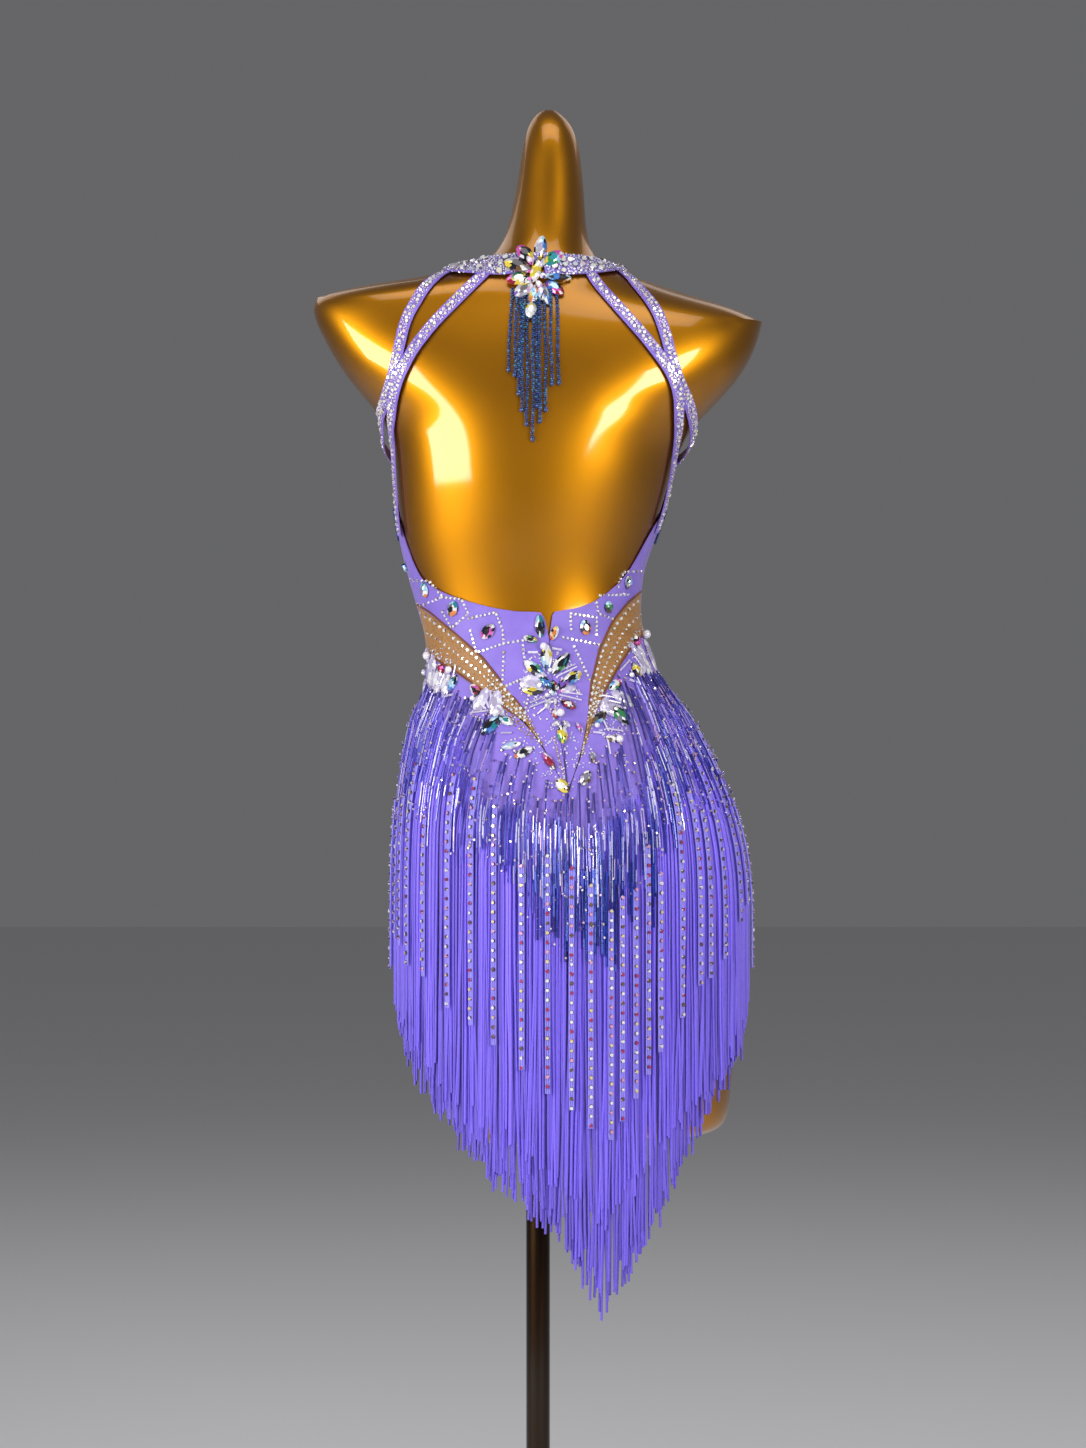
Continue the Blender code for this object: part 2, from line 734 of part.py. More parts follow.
def build_stand():
    """The pole from the base plate's hub up into the left thigh, and the plate."""
    top = LEFT_THIGH[-1].height + POLE_IN_THIGH - POLE_CLEARANCE
    bottom = HUB_FLOOR + POLE_CLEARANCE
    lathe("pole", [(0, bottom), (POLE_RADIUS, bottom), (POLE_RADIUS, top), (0, top)], 24, "bronze")
    edge = 0.002
    bore = POLE_RADIUS + POLE_CLEARANCE
    lathe(
        "base_plate",
        [
            (0, 0),
            (BASE_RADIUS - edge, 0),
            (BASE_RADIUS, edge),
            (BASE_RADIUS, BASE_THICKNESS - edge),
            (BASE_RADIUS - edge, BASE_THICKNESS),
            (HUB_RADIUS + 2 * edge, BASE_THICKNESS),
            (HUB_RADIUS, BASE_THICKNESS + 2 * edge),
            (HUB_RADIUS, HUB_TOP - edge),
            (HUB_RADIUS - edge, HUB_TOP),
            (bore, HUB_TOP),
            (bore, HUB_FLOOR),
            (0, HUB_FLOOR),
        ],
        36,
        "bronze",
    )


# --- the dress -----------------------------------------------------------------------------------

# All panels and fringes share these columns, so that their edges match and their facets stay parallel.
LEFT_TURNS = [-90.0, -80.0, -70.0, -60.0, -50.0, -41.0, -32.0, -23.0, INSERT_TIPS[0], -6.5, 0.0]
RIGHT_TURNS = [0.0, 6.5, INSERT_TIPS[1], 21.0, 28.0, 36.0, 44.0, 52.0, 61.0, 70.0, 80.0, 90.0]
FRONT_TURNS = [90.0, 95.0, 100.0, 106.0, 116.0, 128.0, 140.0, 151.0, 160.0, 170.0, 180.0]


def mirrored(curve):
    """An edge given from 90 to 180 degrees, used on from 180 to 270 too."""
    return lambda turn: curve(180.0 - abs(turn - 180.0))


def skirt_hem(turn):
    """The skirt's level hem, hidden under the fringe."""
    return SKIRT_HEM


def trimmed(turns, first=0.0, last=0.0):
    """The same columns with the outer ones moved in, for a seam."""
    return [turns[0] + first, *turns[1:-1], turns[-1] - last]


def bodice_stand(turn, height):
    """The bodice's firm front stands a little off the form, except at the side seams and the neck."""
    from_seam = (90.0 - abs(turn - 180.0)) / 12.0
    from_neck = (1.405 - height) / 0.030
    return BODICE_STAND * max(0.0, min(1.0, from_seam, from_neck))


def waist_bottom(turn):
    """The lower edge of the back waist panels."""
    return max(INSERT_TOP(turn), INSERT_BOTTOM(turn))


def skirt_top(turn):
    """The upper edge of the skirt's back panels."""
    return min(INSERT_TOP(turn), INSERT_BOTTOM(turn))


def build_bodice():
    """The front bodice, one piece from the collar to the hips."""
    around = trimmed(FRONT_TURNS + [360.0 - t for t in FRONT_TURNS[-2::-1]], seam_turn(), seam_turn())
    panel("front_bodice", around, mirrored(BODICE_BOTTOM), mirrored(BODICE_TOP), rows=15,
          seams=(True, False), stand=bodice_stand)


def build_back():
    """The two back waist panels, the two mesh inserts and the skirt's back halves."""
    gap = seam_turn()
    left = trimmed(LEFT_TURNS, gap, gap)
    right = trimmed(RIGHT_TURNS, gap, gap)
    left_tip = LEFT_TURNS.index(INSERT_TIPS[0])
    right_tip = RIGHT_TURNS.index(INSERT_TIPS[1])
    inserts = {"left": left[: left_tip + 1], "right": right[right_tip:]}
    for side, turns in (("left", left), ("right", right)):
        panel(f"back_waist_{side}", turns, waist_bottom, BACK_OPENING, rows=7, seams=(True, False))
        panel(f"mesh_insert_{side}", inserts[side], INSERT_BOTTOM, INSERT_TOP, rows=2, finish="nude_mesh")
        panel(f"skirt_back_{side}", turns, skirt_hem, skirt_top, seams=(False, True))
    around = trimmed(FRONT_TURNS + [360.0 - t for t in FRONT_TURNS[-2::-1]], gap, gap)
    panel("skirt_front", around, skirt_hem, mirrored(BODICE_BOTTOM), seams=(False, True))


def build_collar():
    """The neck band, open at the centre back under the brooch."""
    turns = spaced(COLLAR_OPENING, 360.0 - COLLAR_OPENING, 13.0)
    panel("collar_band", turns, mirrored(COLLAR_BOTTOM), mirrored(COLLAR_TOP), rows=3,
          seams=(False, False), layer=COLLAR_LAYER)


def strap_path(steps, wraps):
    """The strap's middle line as (turn, height, lift), evenly spaced along a smooth curve."""
    rows = [(turn_of(step.across, step.height), step.height, step.lift) for step in steps] + list(wraps)
    places = [on_form(turn, height) for turn, height, _ in rows]
    lengths = np.concatenate([[0], np.cumsum([(b - a).length for a, b in zip(places, places[1:])])])
    smooth = [Curve([(s, place[k]) for s, place in zip(lengths, places)]) for k in range(3)]
    lifts = Curve([(s, row[2]) for s, row in zip(lengths, rows)])
    path = []
    for s in spaced(0.0, lengths[-1], STRAP_PITCH):
        place = Vector([curve(s) for curve in smooth])
        path.append((turn_at(place), place.z, lifts(s)))
    return path


def strap(name, path):
    """A flat strap lying along a path on the figure."""
    inner, outer = [], []
    middles = [off_form(*place) for place in path]
    for i, (turn, height, lift) in enumerate(path):
        ahead = middles[min(i + 1, len(path) - 1)] - middles[max(i - 1, 0)]
        normal = (off_form(turn, height, lift + 0.010) - middles[i]).normalized()
        sideways = ahead.cross(normal).normalized() * STRAP_WIDTH
        edges = (middles[i] - sideways / 2, middles[i] + sideways / 2)
        inner.append(edges)
        outer.append([edge + normal * CLOTH for edge in edges])
    wall(name, inner, outer, "lavender")


def build_straps():
    """The four straps between the collar and the body of the dress."""
    for side in ("left", "right"):
        strap(f"shoulder_strap_{side}", strap_path(*SHOULDER_STRAPS[side]))
        strap(f"back_strap_{side}", strap_path(*BACK_STRAPS[side]))


def star_patch(name, star):
    """A star-shaped motif that follows the figure, as a wall between two webs of points."""
    corners = 2 * star.points
    lean = math.radians(star.lean)
    middle = turn_of(star.across, star.height)
    per_degree = (on_form(middle + 1, star.height) - on_form(middle - 1, star.height)).length / 2

    def place(dx, dz, out):
        along = dx * math.cos(lean) - dz * math.sin(lean)
        up = dx * math.sin(lean) + dz * math.cos(lean)
        return off_form(middle + along / per_degree, star.height + up, out)

    points = []
    for out in (star.seat, star.seat + MOTIF_THICKNESS):
        points.append(place(0.0, 0.0, out))
        for ring in STAR_RINGS:
            for i in range(corners):
                share = ring * (1.0 if i % 2 == 0 else 1 - (1 - star.valley) * ring)
                angle = 2 * math.pi * i / corners
                dx, dz = star.half_width * math.sin(angle), star.half_height * math.cos(angle)
                points.append(place(dx * share, dz * share, out))
    side = len(points) // 2
    faces = []
    for i in range(corners):
        nxt = (i + 1) % corners
        for base in (0, side):
            faces.append((base, base + 1 + i, base + 1 + nxt))
            for r in range(len(STAR_RINGS) - 1):
                inner, outer = base + 1 + r * corners, base + 1 + (r + 1) * corners
                faces.append((inner + i, outer + i, outer + nxt, inner + nxt))
        rim = 1 + (len(STAR_RINGS) - 1) * corners
        faces.append((rim + i, side + rim + i, side + rim + nxt, rim + nxt))
    add_object(name, points, faces, "crystal")


def build_motifs():
    """The brooch on the collar and the stone motifs sewn round the hips."""
    star_patch("brooch", BROOCH)
    for name, star in APPLIQUES.items():
        star_patch(name, star)


def build_tassels():
    """The plain solids that the bead tassels fill: one under the brooch, one at each side of the bust."""
    grids = [[], []]
    for end in TASSEL_ENDS:
        heights = [end.height + (TASSEL_TOP - end.height) * i / 5 for i in range(6)]
        for grid, out in zip(grids, TASSEL_LAYER):
            grid.append([off_form(turn_of(end.across, z), z, out) for z in heights])
    wall("brooch_tassel", *grids, "navy_beads")
    for side, sign in (("left", -1), ("right", 1)):
        grids = [[], []]
        for turn, length in zip(BUST_TASSEL_TURNS, BUST_TASSEL_LENGTHS):
            for grid, out in zip(grids, BUST_TASSEL_LAYER):
                grid.append([off_form(sign * turn, BUST_TASSEL_TOP - length * i / 2, out) for i in range(3)])
        wall(f"bust_tassel_{side}", *grids, "navy_beads")


def fringe_half(name, turns, hem, layer):
    """Half of a fringe tier: a rippled wall from the sewing line down to its stepped hem."""
    grids = [[], []]
    for i, turn in enumerate(turns):
        tooth = 1 if i % 2 == 0 else -1
        top, low = FRINGE_TOP(turn), hem(turn) + tooth * FRINGE_TEETH
        on_hips = [top + (FRINGE_FALL - top) * j / 6 for j in range(6)]
        hanging = [FRINGE_FALL + (low - FRINGE_FALL) * j / 2 for j in range(3)]
        for grid, out, ripple in zip(grids, layer, (0.0, FRINGE_RIPPLE)):
            column = []
            for z in on_hips + hanging:
                fade = min(1.0, (top - z) / 0.08)
                column.append(off_form(turn, z, out + tooth * ripple * fade))
            grid.append(column)
    return wall(name, *grids, "fringe")


def build_fringe():
    """Two tiers of fringe, each sewn on from the centre back round to the centre front."""
    gap = seam_turn(0.85)
    right = trimmed(RIGHT_TURNS + FRONT_TURNS[1:], gap, gap)
    left = trimmed(LEFT_TURNS[::-1] + [-turn for turn in FRONT_TURNS[1:]], -gap, -gap)
    for tier, hem, layer in (("under", UNDER_HEM, FRINGE_UNDER), ("over", OVER_HEM, FRINGE_OVER)):
        fringe_half(f"fringe_{tier}_left", left, hem, layer)
        fringe_half(f"fringe_{tier}_right", right, hem, layer)


def main():
    for obj in list(bpy.data.objects):
        bpy.data.objects.remove(obj, do_unlink=True)
    build_form()
    build_stand()
    build_bodice()
    build_back()
    build_collar()
    build_straps()
    build_motifs()
    build_tassels()
    build_fringe()


main()
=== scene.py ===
"""The looks of a backless salsa dance dress and of the gold dress form that wears it.

A place on the dress is an (across, height) pair in millimetres: across runs to the right of the pole's
axis, seen from behind, and height runs up from the floor. A place on the fringe is a turn in degrees
round the hips, where 0 is the middle of the back and +90 is the right side, and a height.
"""

import logging
import math
from dataclasses import dataclass, field
from enum import Enum
from typing import Callable, Iterable, Iterator, NamedTuple, Sequence

import bmesh
import bpy
import numpy as np
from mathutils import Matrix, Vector
from mathutils.bvhtree import BVHTree


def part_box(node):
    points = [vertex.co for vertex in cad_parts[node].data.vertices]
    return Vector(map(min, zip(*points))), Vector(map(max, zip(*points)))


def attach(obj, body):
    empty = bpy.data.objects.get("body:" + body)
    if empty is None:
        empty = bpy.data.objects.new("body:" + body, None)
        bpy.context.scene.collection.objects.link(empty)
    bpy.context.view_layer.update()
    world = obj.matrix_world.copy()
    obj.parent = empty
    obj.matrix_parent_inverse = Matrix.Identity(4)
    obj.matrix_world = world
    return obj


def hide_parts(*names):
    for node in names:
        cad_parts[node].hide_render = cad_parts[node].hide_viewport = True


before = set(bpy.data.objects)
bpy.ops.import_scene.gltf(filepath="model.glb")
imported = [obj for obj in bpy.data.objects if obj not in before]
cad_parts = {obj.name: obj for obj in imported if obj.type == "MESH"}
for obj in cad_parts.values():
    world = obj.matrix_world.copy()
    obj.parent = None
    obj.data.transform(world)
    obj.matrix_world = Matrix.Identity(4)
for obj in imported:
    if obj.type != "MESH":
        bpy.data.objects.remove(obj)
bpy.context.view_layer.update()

log = logging.getLogger("dress")

MM = 0.001
SHARP = math.radians(50)  # edges that turn by more than this are rims, and stay sharp
TINT_LAYER = "tint"
UP = Vector((0, 0, 1))
Place = tuple[float, float]
Colour = tuple[float, float, float]
Row = tuple[float, float]


# --- small helpers -----------------------------------------------------------------------------------


def curve(rows: Sequence[Row], place: float) -> float:
    """Read a table of (place, value) rows with straight steps between them, held level past its ends."""
    return float(np.interp(place, [row[0] for row in rows], [row[1] for row in rows]))


def deselect() -> None:
    """Leave nothing selected."""
    bpy.ops.object.select_all(action="DESELECT")


def pick(piece: bpy.types.Object) -> None:
    """Make one object the only selected and active one."""
    deselect()
    piece.select_set(True)
    bpy.context.view_layer.objects.active = piece


def modify(piece: bpy.types.Object, kind: str, **settings: object) -> None:
    """Add a modifier to a piece and apply it at once.

    Args:
        piece: The piece.
        kind: The modifier's Blender type.
        settings: The modifier's own settings.
    """
    modifier = piece.modifiers.new(kind.lower(), kind)
    for key, value in settings.items():
        setattr(modifier, key, value)
    pick(piece)
    bpy.ops.object.modifier_apply(modifier=modifier.name)


def enlist(
    piece: bpy.types.Object, finish: "Finish", *nodes: str, slot: str | None = None
) -> bpy.types.Object:
    """Give a piece its finish, fix it to the dress and hide the plain solids that it stands for.

    Args:
        piece: The piece.
        finish: Its finish.
        nodes: The names of the solids that it replaces.
        slot: The record's material slot, if it isn't the finish's usual one; it is not used.

    Returns:
        The piece.
    """
    piece.data.materials.clear()
    piece.data.materials.append(finish.material())
    slot or finish.value.slot
    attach(piece, "root")
    if nodes:
        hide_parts(*nodes)
    log.info("%s: %d faces", piece.name, len(piece.data.polygons))
    return piece


def is_sharp(edge: bmesh.types.BMEdge) -> bool:
    """True if an edge lies on a sharp rim."""
    return len(edge.link_faces) == 2 and edge.calc_face_angle() > SHARP


def sharp_edges(piece: bpy.types.Object) -> list[tuple[Vector, Vector]]:
    """Find a piece's sharp rims.

    Args:
        piece: The piece.

    Returns:
        The two ends of every edge on them.
    """
    shape = bmesh.new()
    shape.from_mesh(piece.data)
    ends = [(edge.verts[0].co.copy(), edge.verts[1].co.copy()) for edge in shape.edges if is_sharp(edge)]
    shape.free()
    return ends


def sort_parts(shape: bmesh.types.BMesh) -> None:
    """List a mesh's parts by their places, so that their order never varies.

    Args:
        shape: The mesh.
    """
    keys = (
        (shape.verts, lambda vert: [round(value / MM, 2) for value in vert.co]),
        (shape.edges, lambda edge: sorted(vert.index for vert in edge.verts)),
        (shape.faces, lambda face: sorted(vert.index for vert in face.verts)),
    )
    for parts, key in keys:
        for i, part in enumerate(sorted(parts, key=key)):
            part.index = i
        parts.sort()


def smooth_copy(
    node: str, name: str, reshape: Callable[[bmesh.types.BMesh], None] | None = None, levels: int = 2
) -> bpy.types.Object:
    """Copy a plain solid, join its loose faces and smooth it, with its sharp rims kept.

    Args:
        node: The solid's name.
        name: The new piece's name.
        reshape: What is done to the coarse mesh before it is subdivided.
        levels: How many times it is subdivided.

    Returns:
        The smoothed piece.
    """
    piece = bpy.data.objects.new(name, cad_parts[node].data.copy())
    bpy.context.scene.collection.objects.link(piece)
    pick(piece)
    bpy.ops.mesh.customdata_custom_splitnormals_clear()
    bpy.ops.object.mode_set(mode="EDIT")
    bpy.ops.mesh.select_all(action="SELECT")
    bpy.ops.mesh.remove_doubles(threshold=0.01 * MM)
    bpy.ops.mesh.tris_convert_to_quads(face_threshold=math.radians(35), shape_threshold=math.radians(70))
    bpy.ops.object.mode_set(mode="OBJECT")
    shape = bmesh.new()
    shape.from_mesh(piece.data)
    if reshape:
        reshape(shape)
        sort_parts(shape)
    crease = shape.edges.layers.float.get("crease_edge") or shape.edges.layers.float.new("crease_edge")
    for edge in shape.edges:
        edge[crease] = 1.0 if is_sharp(edge) else 0.0
        edge.smooth = True
    shape.to_mesh(piece.data)
    shape.free()
    modify(piece, "SUBSURF", levels=levels, render_levels=levels)
    bpy.ops.object.shade_smooth_by_angle(angle=math.radians(40))
    return piece


# --- feeling for a surface ---------------------------------------------------------------------------


class Seat(NamedTuple):
    """A place on a surface: the point and the way that the surface faces there."""

    point: Vector
    normal: Vector

    def lifted(self, lift: float) -> "Seat":
        """The same place, moved out by `lift` metres."""
        return Seat(self.point + self.normal * lift, self.normal)


class Skin:
    """The outside of some pieces together, found by straight probes from outside."""

    REACH = 0.6

    def __init__(self, pieces: Iterable[bpy.types.Object]) -> None:
        """Take up the pieces' meshes as they are now.

        Args:
            pieces: The pieces whose outside is felt.
        """
        points: list[Vector] = []
        faces: list[list[int]] = []
        for piece in pieces:
            start = len(points)
            points.extend(vertex.co.copy() for vertex in piece.data.vertices)
            faces.extend([start + i for i in face.vertices] for face in piece.data.polygons)
        self.tree = BVHTree.FromPolygons(points, faces)

    def probe(self, start: Vector, direction: Vector) -> Seat | None:
        """The first place that a straight probe meets, or None.

        Args:
            start: Where the probe starts.
            direction: Where it goes.

        Returns:
            The place, facing the probe.
        """
        point, normal, _, _ = self.tree.ray_cast(start, direction, 2 * self.REACH)
        if point is None:
            return None
        return Seat(point, -normal if normal.dot(direction) > 0 else normal)

    def back(self, across: float, height: float) -> Seat | None:
        """The place on the back at an (across, height) pair in millimetres."""
        return self.probe(Vector((across * MM, -self.REACH, height * MM)), Vector((0, 1, 0)))

    def path(self, line: Iterable[Place], lift: float) -> np.ndarray:
        """A line of places on the back as points, `lift` metres off it."""
        seats = [self.back(*place) for place in line]
        return np.array([seat.lifted(lift).point[:] for seat in seats if seat])


# --- finishes ----------------------------------------------------------------------------------------


class Nodes:
    """A shader node tree, with short ways to add nodes and feed them."""

    def __init__(self, tree: bpy.types.NodeTree) -> None:
        """Take up a node tree."""
        self.tree = tree

    def feed(self, node: bpy.types.Node, inputs: dict) -> None:
        """Set a node's inputs.

        Args:
            node: The node.
            inputs: Input names or numbers, each with a value or with the socket that feeds it.
        """
        for key, value in inputs.items():
            if isinstance(value, bpy.types.NodeSocket):
                self.tree.links.new(value, node.inputs[key])
            else:
                node.inputs[key].default_value = value

    def add(self, kind: str, inputs: dict | None = None, **settings: object) -> bpy.types.Node:
        """Add a node.

        Args:
            kind: The node's Blender type.
            inputs: What its inputs are fed with.
            settings: The node's own settings.

        Returns:
            The new node.
        """
        node = self.tree.nodes.new(kind)
        for key, value in settings.items():
            setattr(node, key, value)
        self.feed(node, inputs or {})
        return node


class Effect(Enum):
    """The effects that several finishes share, each a node group with one result.

    Each has the result's name and socket type, and its inputs with their default values.
    """

    WEAVE = ("Height", "Float", {"Vector": None, "Ribs": 1500.0})
    MOTTLE = ("Value", "Float", {"Vector": None, "Scale": 20.0, "Low": 0.0, "High": 1.0})
    TINT = ("Color", "Color", {"Base": (1, 1, 1, 1), "Shade": (0, 0, 0, 1), "Amount": 0.5})

    def add(self, nodes: Nodes, **inputs: object) -> bpy.types.NodeSocket:
        """Use the effect in a material. Its group is built the first time.

        Args:
            nodes: The material's nodes.
            inputs: What the effect is fed with.

        Returns:
            The effect's result.
        """
        tree = bpy.data.node_groups.get(self.name.lower()) or self.build()
        return nodes.add("ShaderNodeGroup", inputs, node_tree=tree).outputs[0]

    def build(self) -> bpy.types.NodeTree:
        """Make the node group."""
        result, kind, inputs = self.value
        tree = bpy.data.node_groups.new(self.name.lower(), "ShaderNodeTree")
        tree.interface.new_socket(name=result, in_out="OUTPUT", socket_type=f"NodeSocket{kind}")
        for key, value in inputs.items():
            sort = {type(None): "Vector", float: "Float", tuple: "Color"}[type(value)]
            socket = tree.interface.new_socket(name=key, in_out="INPUT", socket_type=f"NodeSocket{sort}")
            if value is not None:
                socket.default_value = value
        nodes = Nodes(tree)
        given = nodes.add("NodeGroupInput").outputs
        make = {Effect.WEAVE: build_weave, Effect.MOTTLE: build_mottle, Effect.TINT: build_tint}[self]
        nodes.add("NodeGroupOutput", {result: make(nodes, {key: given[key] for key in inputs})})
        return tree


def build_weave(nodes: Nodes, given: dict) -> bpy.types.NodeSocket:
    """The height of a knitted cloth's fine ribs: the mean of three sets of bands.

    Args:
        nodes: The group's nodes.
        given: The group's inputs.

    Returns:
        The height.
    """
    feeds = {"Vector": given["Vector"], "Scale": given["Ribs"], "Distortion": 0.6, "Detail": 1.0}
    x, y, z = (nodes.add("ShaderNodeTexWave", feeds, bands_direction=axis).outputs["Fac"] for axis in "XYZ")
    two = nodes.add("ShaderNodeMath", {0: x, 1: y}, operation="ADD").outputs[0]
    three = nodes.add("ShaderNodeMath", {0: two, 1: z}, operation="ADD").outputs[0]
    return nodes.add("ShaderNodeMath", {0: three, 1: 1 / 3}, operation="MULTIPLY").outputs[0]


def build_mottle(nodes: Nodes, given: dict) -> bpy.types.NodeSocket:
    """Soft uneven patches: a value that wanders between two limits.

    Args:
        nodes: The group's nodes.
        given: The group's inputs.

    Returns:
        The value.
    """
    feeds = {"Vector": given["Vector"], "Scale": given["Scale"], "Detail": 3.0}
    noise = nodes.add("ShaderNodeTexNoise", feeds)
    spread = nodes.add(
        "ShaderNodeMapRange",
        {"Value": noise.outputs["Fac"], "From Min": 0.3, "From Max": 0.7, "To Min": given["Low"],
         "To Max": given["High"]},
    )
    return spread.outputs["Result"]


def build_tint(nodes: Nodes, given: dict) -> bpy.types.NodeSocket:
    """A colour that goes over from a base to a shade by an amount from 0 to 1.

    Args:
        nodes: The group's nodes.
        given: The group's inputs.

    Returns:
        The colour.
    """
    mix = nodes.add("ShaderNodeMix", data_type="RGBA")
    nodes.feed(mix, {0: given["Amount"], 6: given["Base"], 7: given["Shade"]})
    return mix.outputs[2]


def opaque(colour: Colour) -> tuple[float, float, float, float]:
    """A colour with full alpha."""
    return (*colour, 1.0)


class Recipe(Nodes):
    """A material in the making: its nodes, its shader and the place that its patterns follow."""

    def __init__(self, name: str, **sockets: object) -> None:
        """Start a material.

        Args:
            name: Its name.
            sockets: What the shader's sockets are fed with, as in `feed_shader`.
        """
        self.material = bpy.data.materials.new(name)
        self.material.use_nodes = True
        super().__init__(self.material.node_tree)
        self.feed_shader(**sockets)
        self.place = self.add("ShaderNodeTexCoord").outputs["Object"]

    def feed_shader(self, **sockets: object) -> None:
        """Feed the shader's sockets, with underscores for the spaces in their names."""
        named = {key.replace("_", " "): value for key, value in sockets.items()}
        self.feed(self.tree.nodes["Principled BSDF"], named)

    def mottle(self, scale: float, low: float, high: float) -> bpy.types.NodeSocket:
        """A value that wanders between two limits over the piece."""
        return Effect.MOTTLE.add(self, Vector=self.place, Scale=scale, Low=low, High=high)

    def colour(self, base: object, shade: Colour, amount: bpy.types.NodeSocket) -> None:
        """Colour the piece with a base that goes over to a shade by an amount."""
        self.feed_shader(Base_Color=Effect.TINT.add(self, Base=base, Shade=opaque(shade), Amount=amount))

    def raise_by(self, height: bpy.types.NodeSocket, distance: float, strength: float) -> None:
        """Raise the surface by a height."""
        bump = self.add("ShaderNodeBump", {"Height": height, "Distance": distance, "Strength": strength})
        self.feed_shader(Normal=bump.outputs["Normal"])


@dataclass(frozen=True)
class ClothFinish:
    """A stretch cloth with fine ribs, a soft sheen and slightly uneven colour."""

    name: str
    slot: str
    base: Colour
    shade: Colour
    roughness: float
    sheen: float
    ribs: float = 1300.0
    relief: float = 0.05 * MM

    def build(self) -> bpy.types.Material:
        """Make the material."""
        recipe = Recipe(self.name, Sheen_Weight=self.sheen, Sheen_Roughness=0.4,
                        Sheen_Tint=opaque((0.9, 0.85, 1.0)), Specular_IOR_Level=0.35)
        recipe.colour(opaque(self.base), self.shade, recipe.mottle(45.0, 0.0, 0.5))
        recipe.feed_shader(Roughness=recipe.mottle(160.0, self.roughness - 0.06, self.roughness + 0.06))
        recipe.raise_by(Effect.WEAVE.add(recipe, Vector=recipe.place, Ribs=self.ribs), self.relief, 0.6)
        return recipe.material


@dataclass(frozen=True)
class NetFinish:
    """A bare-look net: fine round holes in a tan ground."""

    name: str
    slot: str
    thread: Colour
    hole: Colour
    holes_per_metre: float = 900.0

    def build(self) -> bpy.types.Material:
        """Make the material."""
        recipe = Recipe(self.name, Roughness=0.55, Sheen_Weight=0.25)
        cells = recipe.add("ShaderNodeTexVoronoi", {"Vector": recipe.place, "Scale": self.holes_per_metre})
        edge = recipe.add(
            "ShaderNodeMapRange", {"Value": cells.outputs["Distance"], "From Min": 0.25, "From Max": 0.55}
        ).outputs["Result"]
        feeds = {0: edge, 1: recipe.mottle(60.0, -0.15, 0.25)}
        amount = recipe.add("ShaderNodeMath", feeds, operation="ADD", use_clamp=True)
        recipe.colour(opaque(self.hole), self.thread, amount.outputs[0])
        recipe.raise_by(edge, 0.12 * MM, 0.5)
        return recipe.material


@dataclass(frozen=True)
class SpeckFinish:
    """Small things whose colour is their own: each copy, or each facet, carries it as its tint."""

    name: str
    slot: str
    roughness: float
    metallic: float
    coat: float
    shade: Colour = (0.0, 0.0, 0.0)
    depth: float = 0.15
    sheen: float = 0.0

    def build(self) -> bpy.types.Material:
        """Make the material."""
        recipe = Recipe(self.name, Roughness=self.roughness, Metallic=self.metallic, Coat_Weight=self.coat,
                        Coat_Roughness=0.04, Sheen_Weight=self.sheen)
        own = recipe.add("ShaderNodeAttribute", attribute_name=TINT_LAYER).outputs["Color"]
        recipe.colour(own, self.shade, recipe.mottle(420.0, 0.0, self.depth))
        recipe.feed_shader(Roughness=recipe.mottle(300.0, self.roughness * 0.7, self.roughness * 1.4))
        return recipe.material


@dataclass(frozen=True)
class LacquerFinish:
    """Metallic paint under a clear gloss, with faint unevenness in its colour, gloss and shape."""

    name: str
    slot: str
    base: Colour
    shade: Colour
    roughness: float
    coat: float
    dents: float = 1.2 * MM

    def build(self) -> bpy.types.Material:
        """Make the material."""
        recipe = Recipe(self.name, Metallic=1.0, Coat_Weight=self.coat, Coat_Roughness=0.09, Coat_IOR=1.5)
        recipe.colour(opaque(self.base), self.shade, recipe.mottle(7.0, 0.0, 0.35))
        recipe.feed_shader(Roughness=recipe.mottle(5.0, self.roughness * 0.9, self.roughness * 1.12))
        ripple = recipe.add("ShaderNodeTexNoise", {"Vector": recipe.place, "Scale": 11.0, "Detail": 0.0})
        recipe.raise_by(ripple.outputs["Fac"], self.dents, 1.0)
        return recipe.material


class Finish(Enum):
    """Every finish of the dress and its form, with the record's material slot."""

    CREPE = ClothFinish(
        "lavender_crepe", "dress_cloth", (0.265, 0.178, 0.655), (0.175, 0.112, 0.53), 0.48, 0.28
    )
    NET = NetFinish("bare_net", "mesh_cloth", (0.40, 0.185, 0.045), (0.18, 0.07, 0.010))
    BINDING = ClothFinish("net_binding", "mesh_cloth", (0.20, 0.065, 0.022), (0.12, 0.03, 0.01), 0.55, 0.2)
    CORD = SpeckFinish("rayon_cord", "fringe_cord", 0.42, 0.0, 0.0, (0.09, 0.05, 0.45), 0.25, 0.25)
    BUGLE = SpeckFinish("glass_bugle", "crystal", 0.22, 0.25, 0.6, (0.02, 0.03, 0.25), 0.25)
    STONE = SpeckFinish("crystal_stone", "crystal", 0.14, 0.25, 1.0)
    GLASS = SpeckFinish("clear_glass", "crystal", 0.12, 0.1, 1.0, (0.35, 0.28, 0.6), 0.45)
    BEAD = SpeckFinish("navy_bead", "navy_beads", 0.25, 0.2, 0.8, (0.0, 0.01, 0.03), 0.4)
    THREAD = SpeckFinish("beading_thread", "fringe_cord", 0.55, 0.0, 0.0, (0.02, 0.02, 0.10), 0.3)
    GOLD = LacquerFinish("gold_gloss", "gold_lacquer", (0.51, 0.205, 0.002), (0.33, 0.115, 0.001), 0.40, 0.9)
    BRONZE = LacquerFinish(
        "dark_bronze", "bronze_paint", (0.030, 0.014, 0.005), (0.012, 0.006, 0.003), 0.35, 0.4
    )

    def material(self) -> bpy.types.Material:
        """The finish's material, built the first time that it is asked for."""
        return bpy.data.materials.get(self.value.name) or self.value.build()


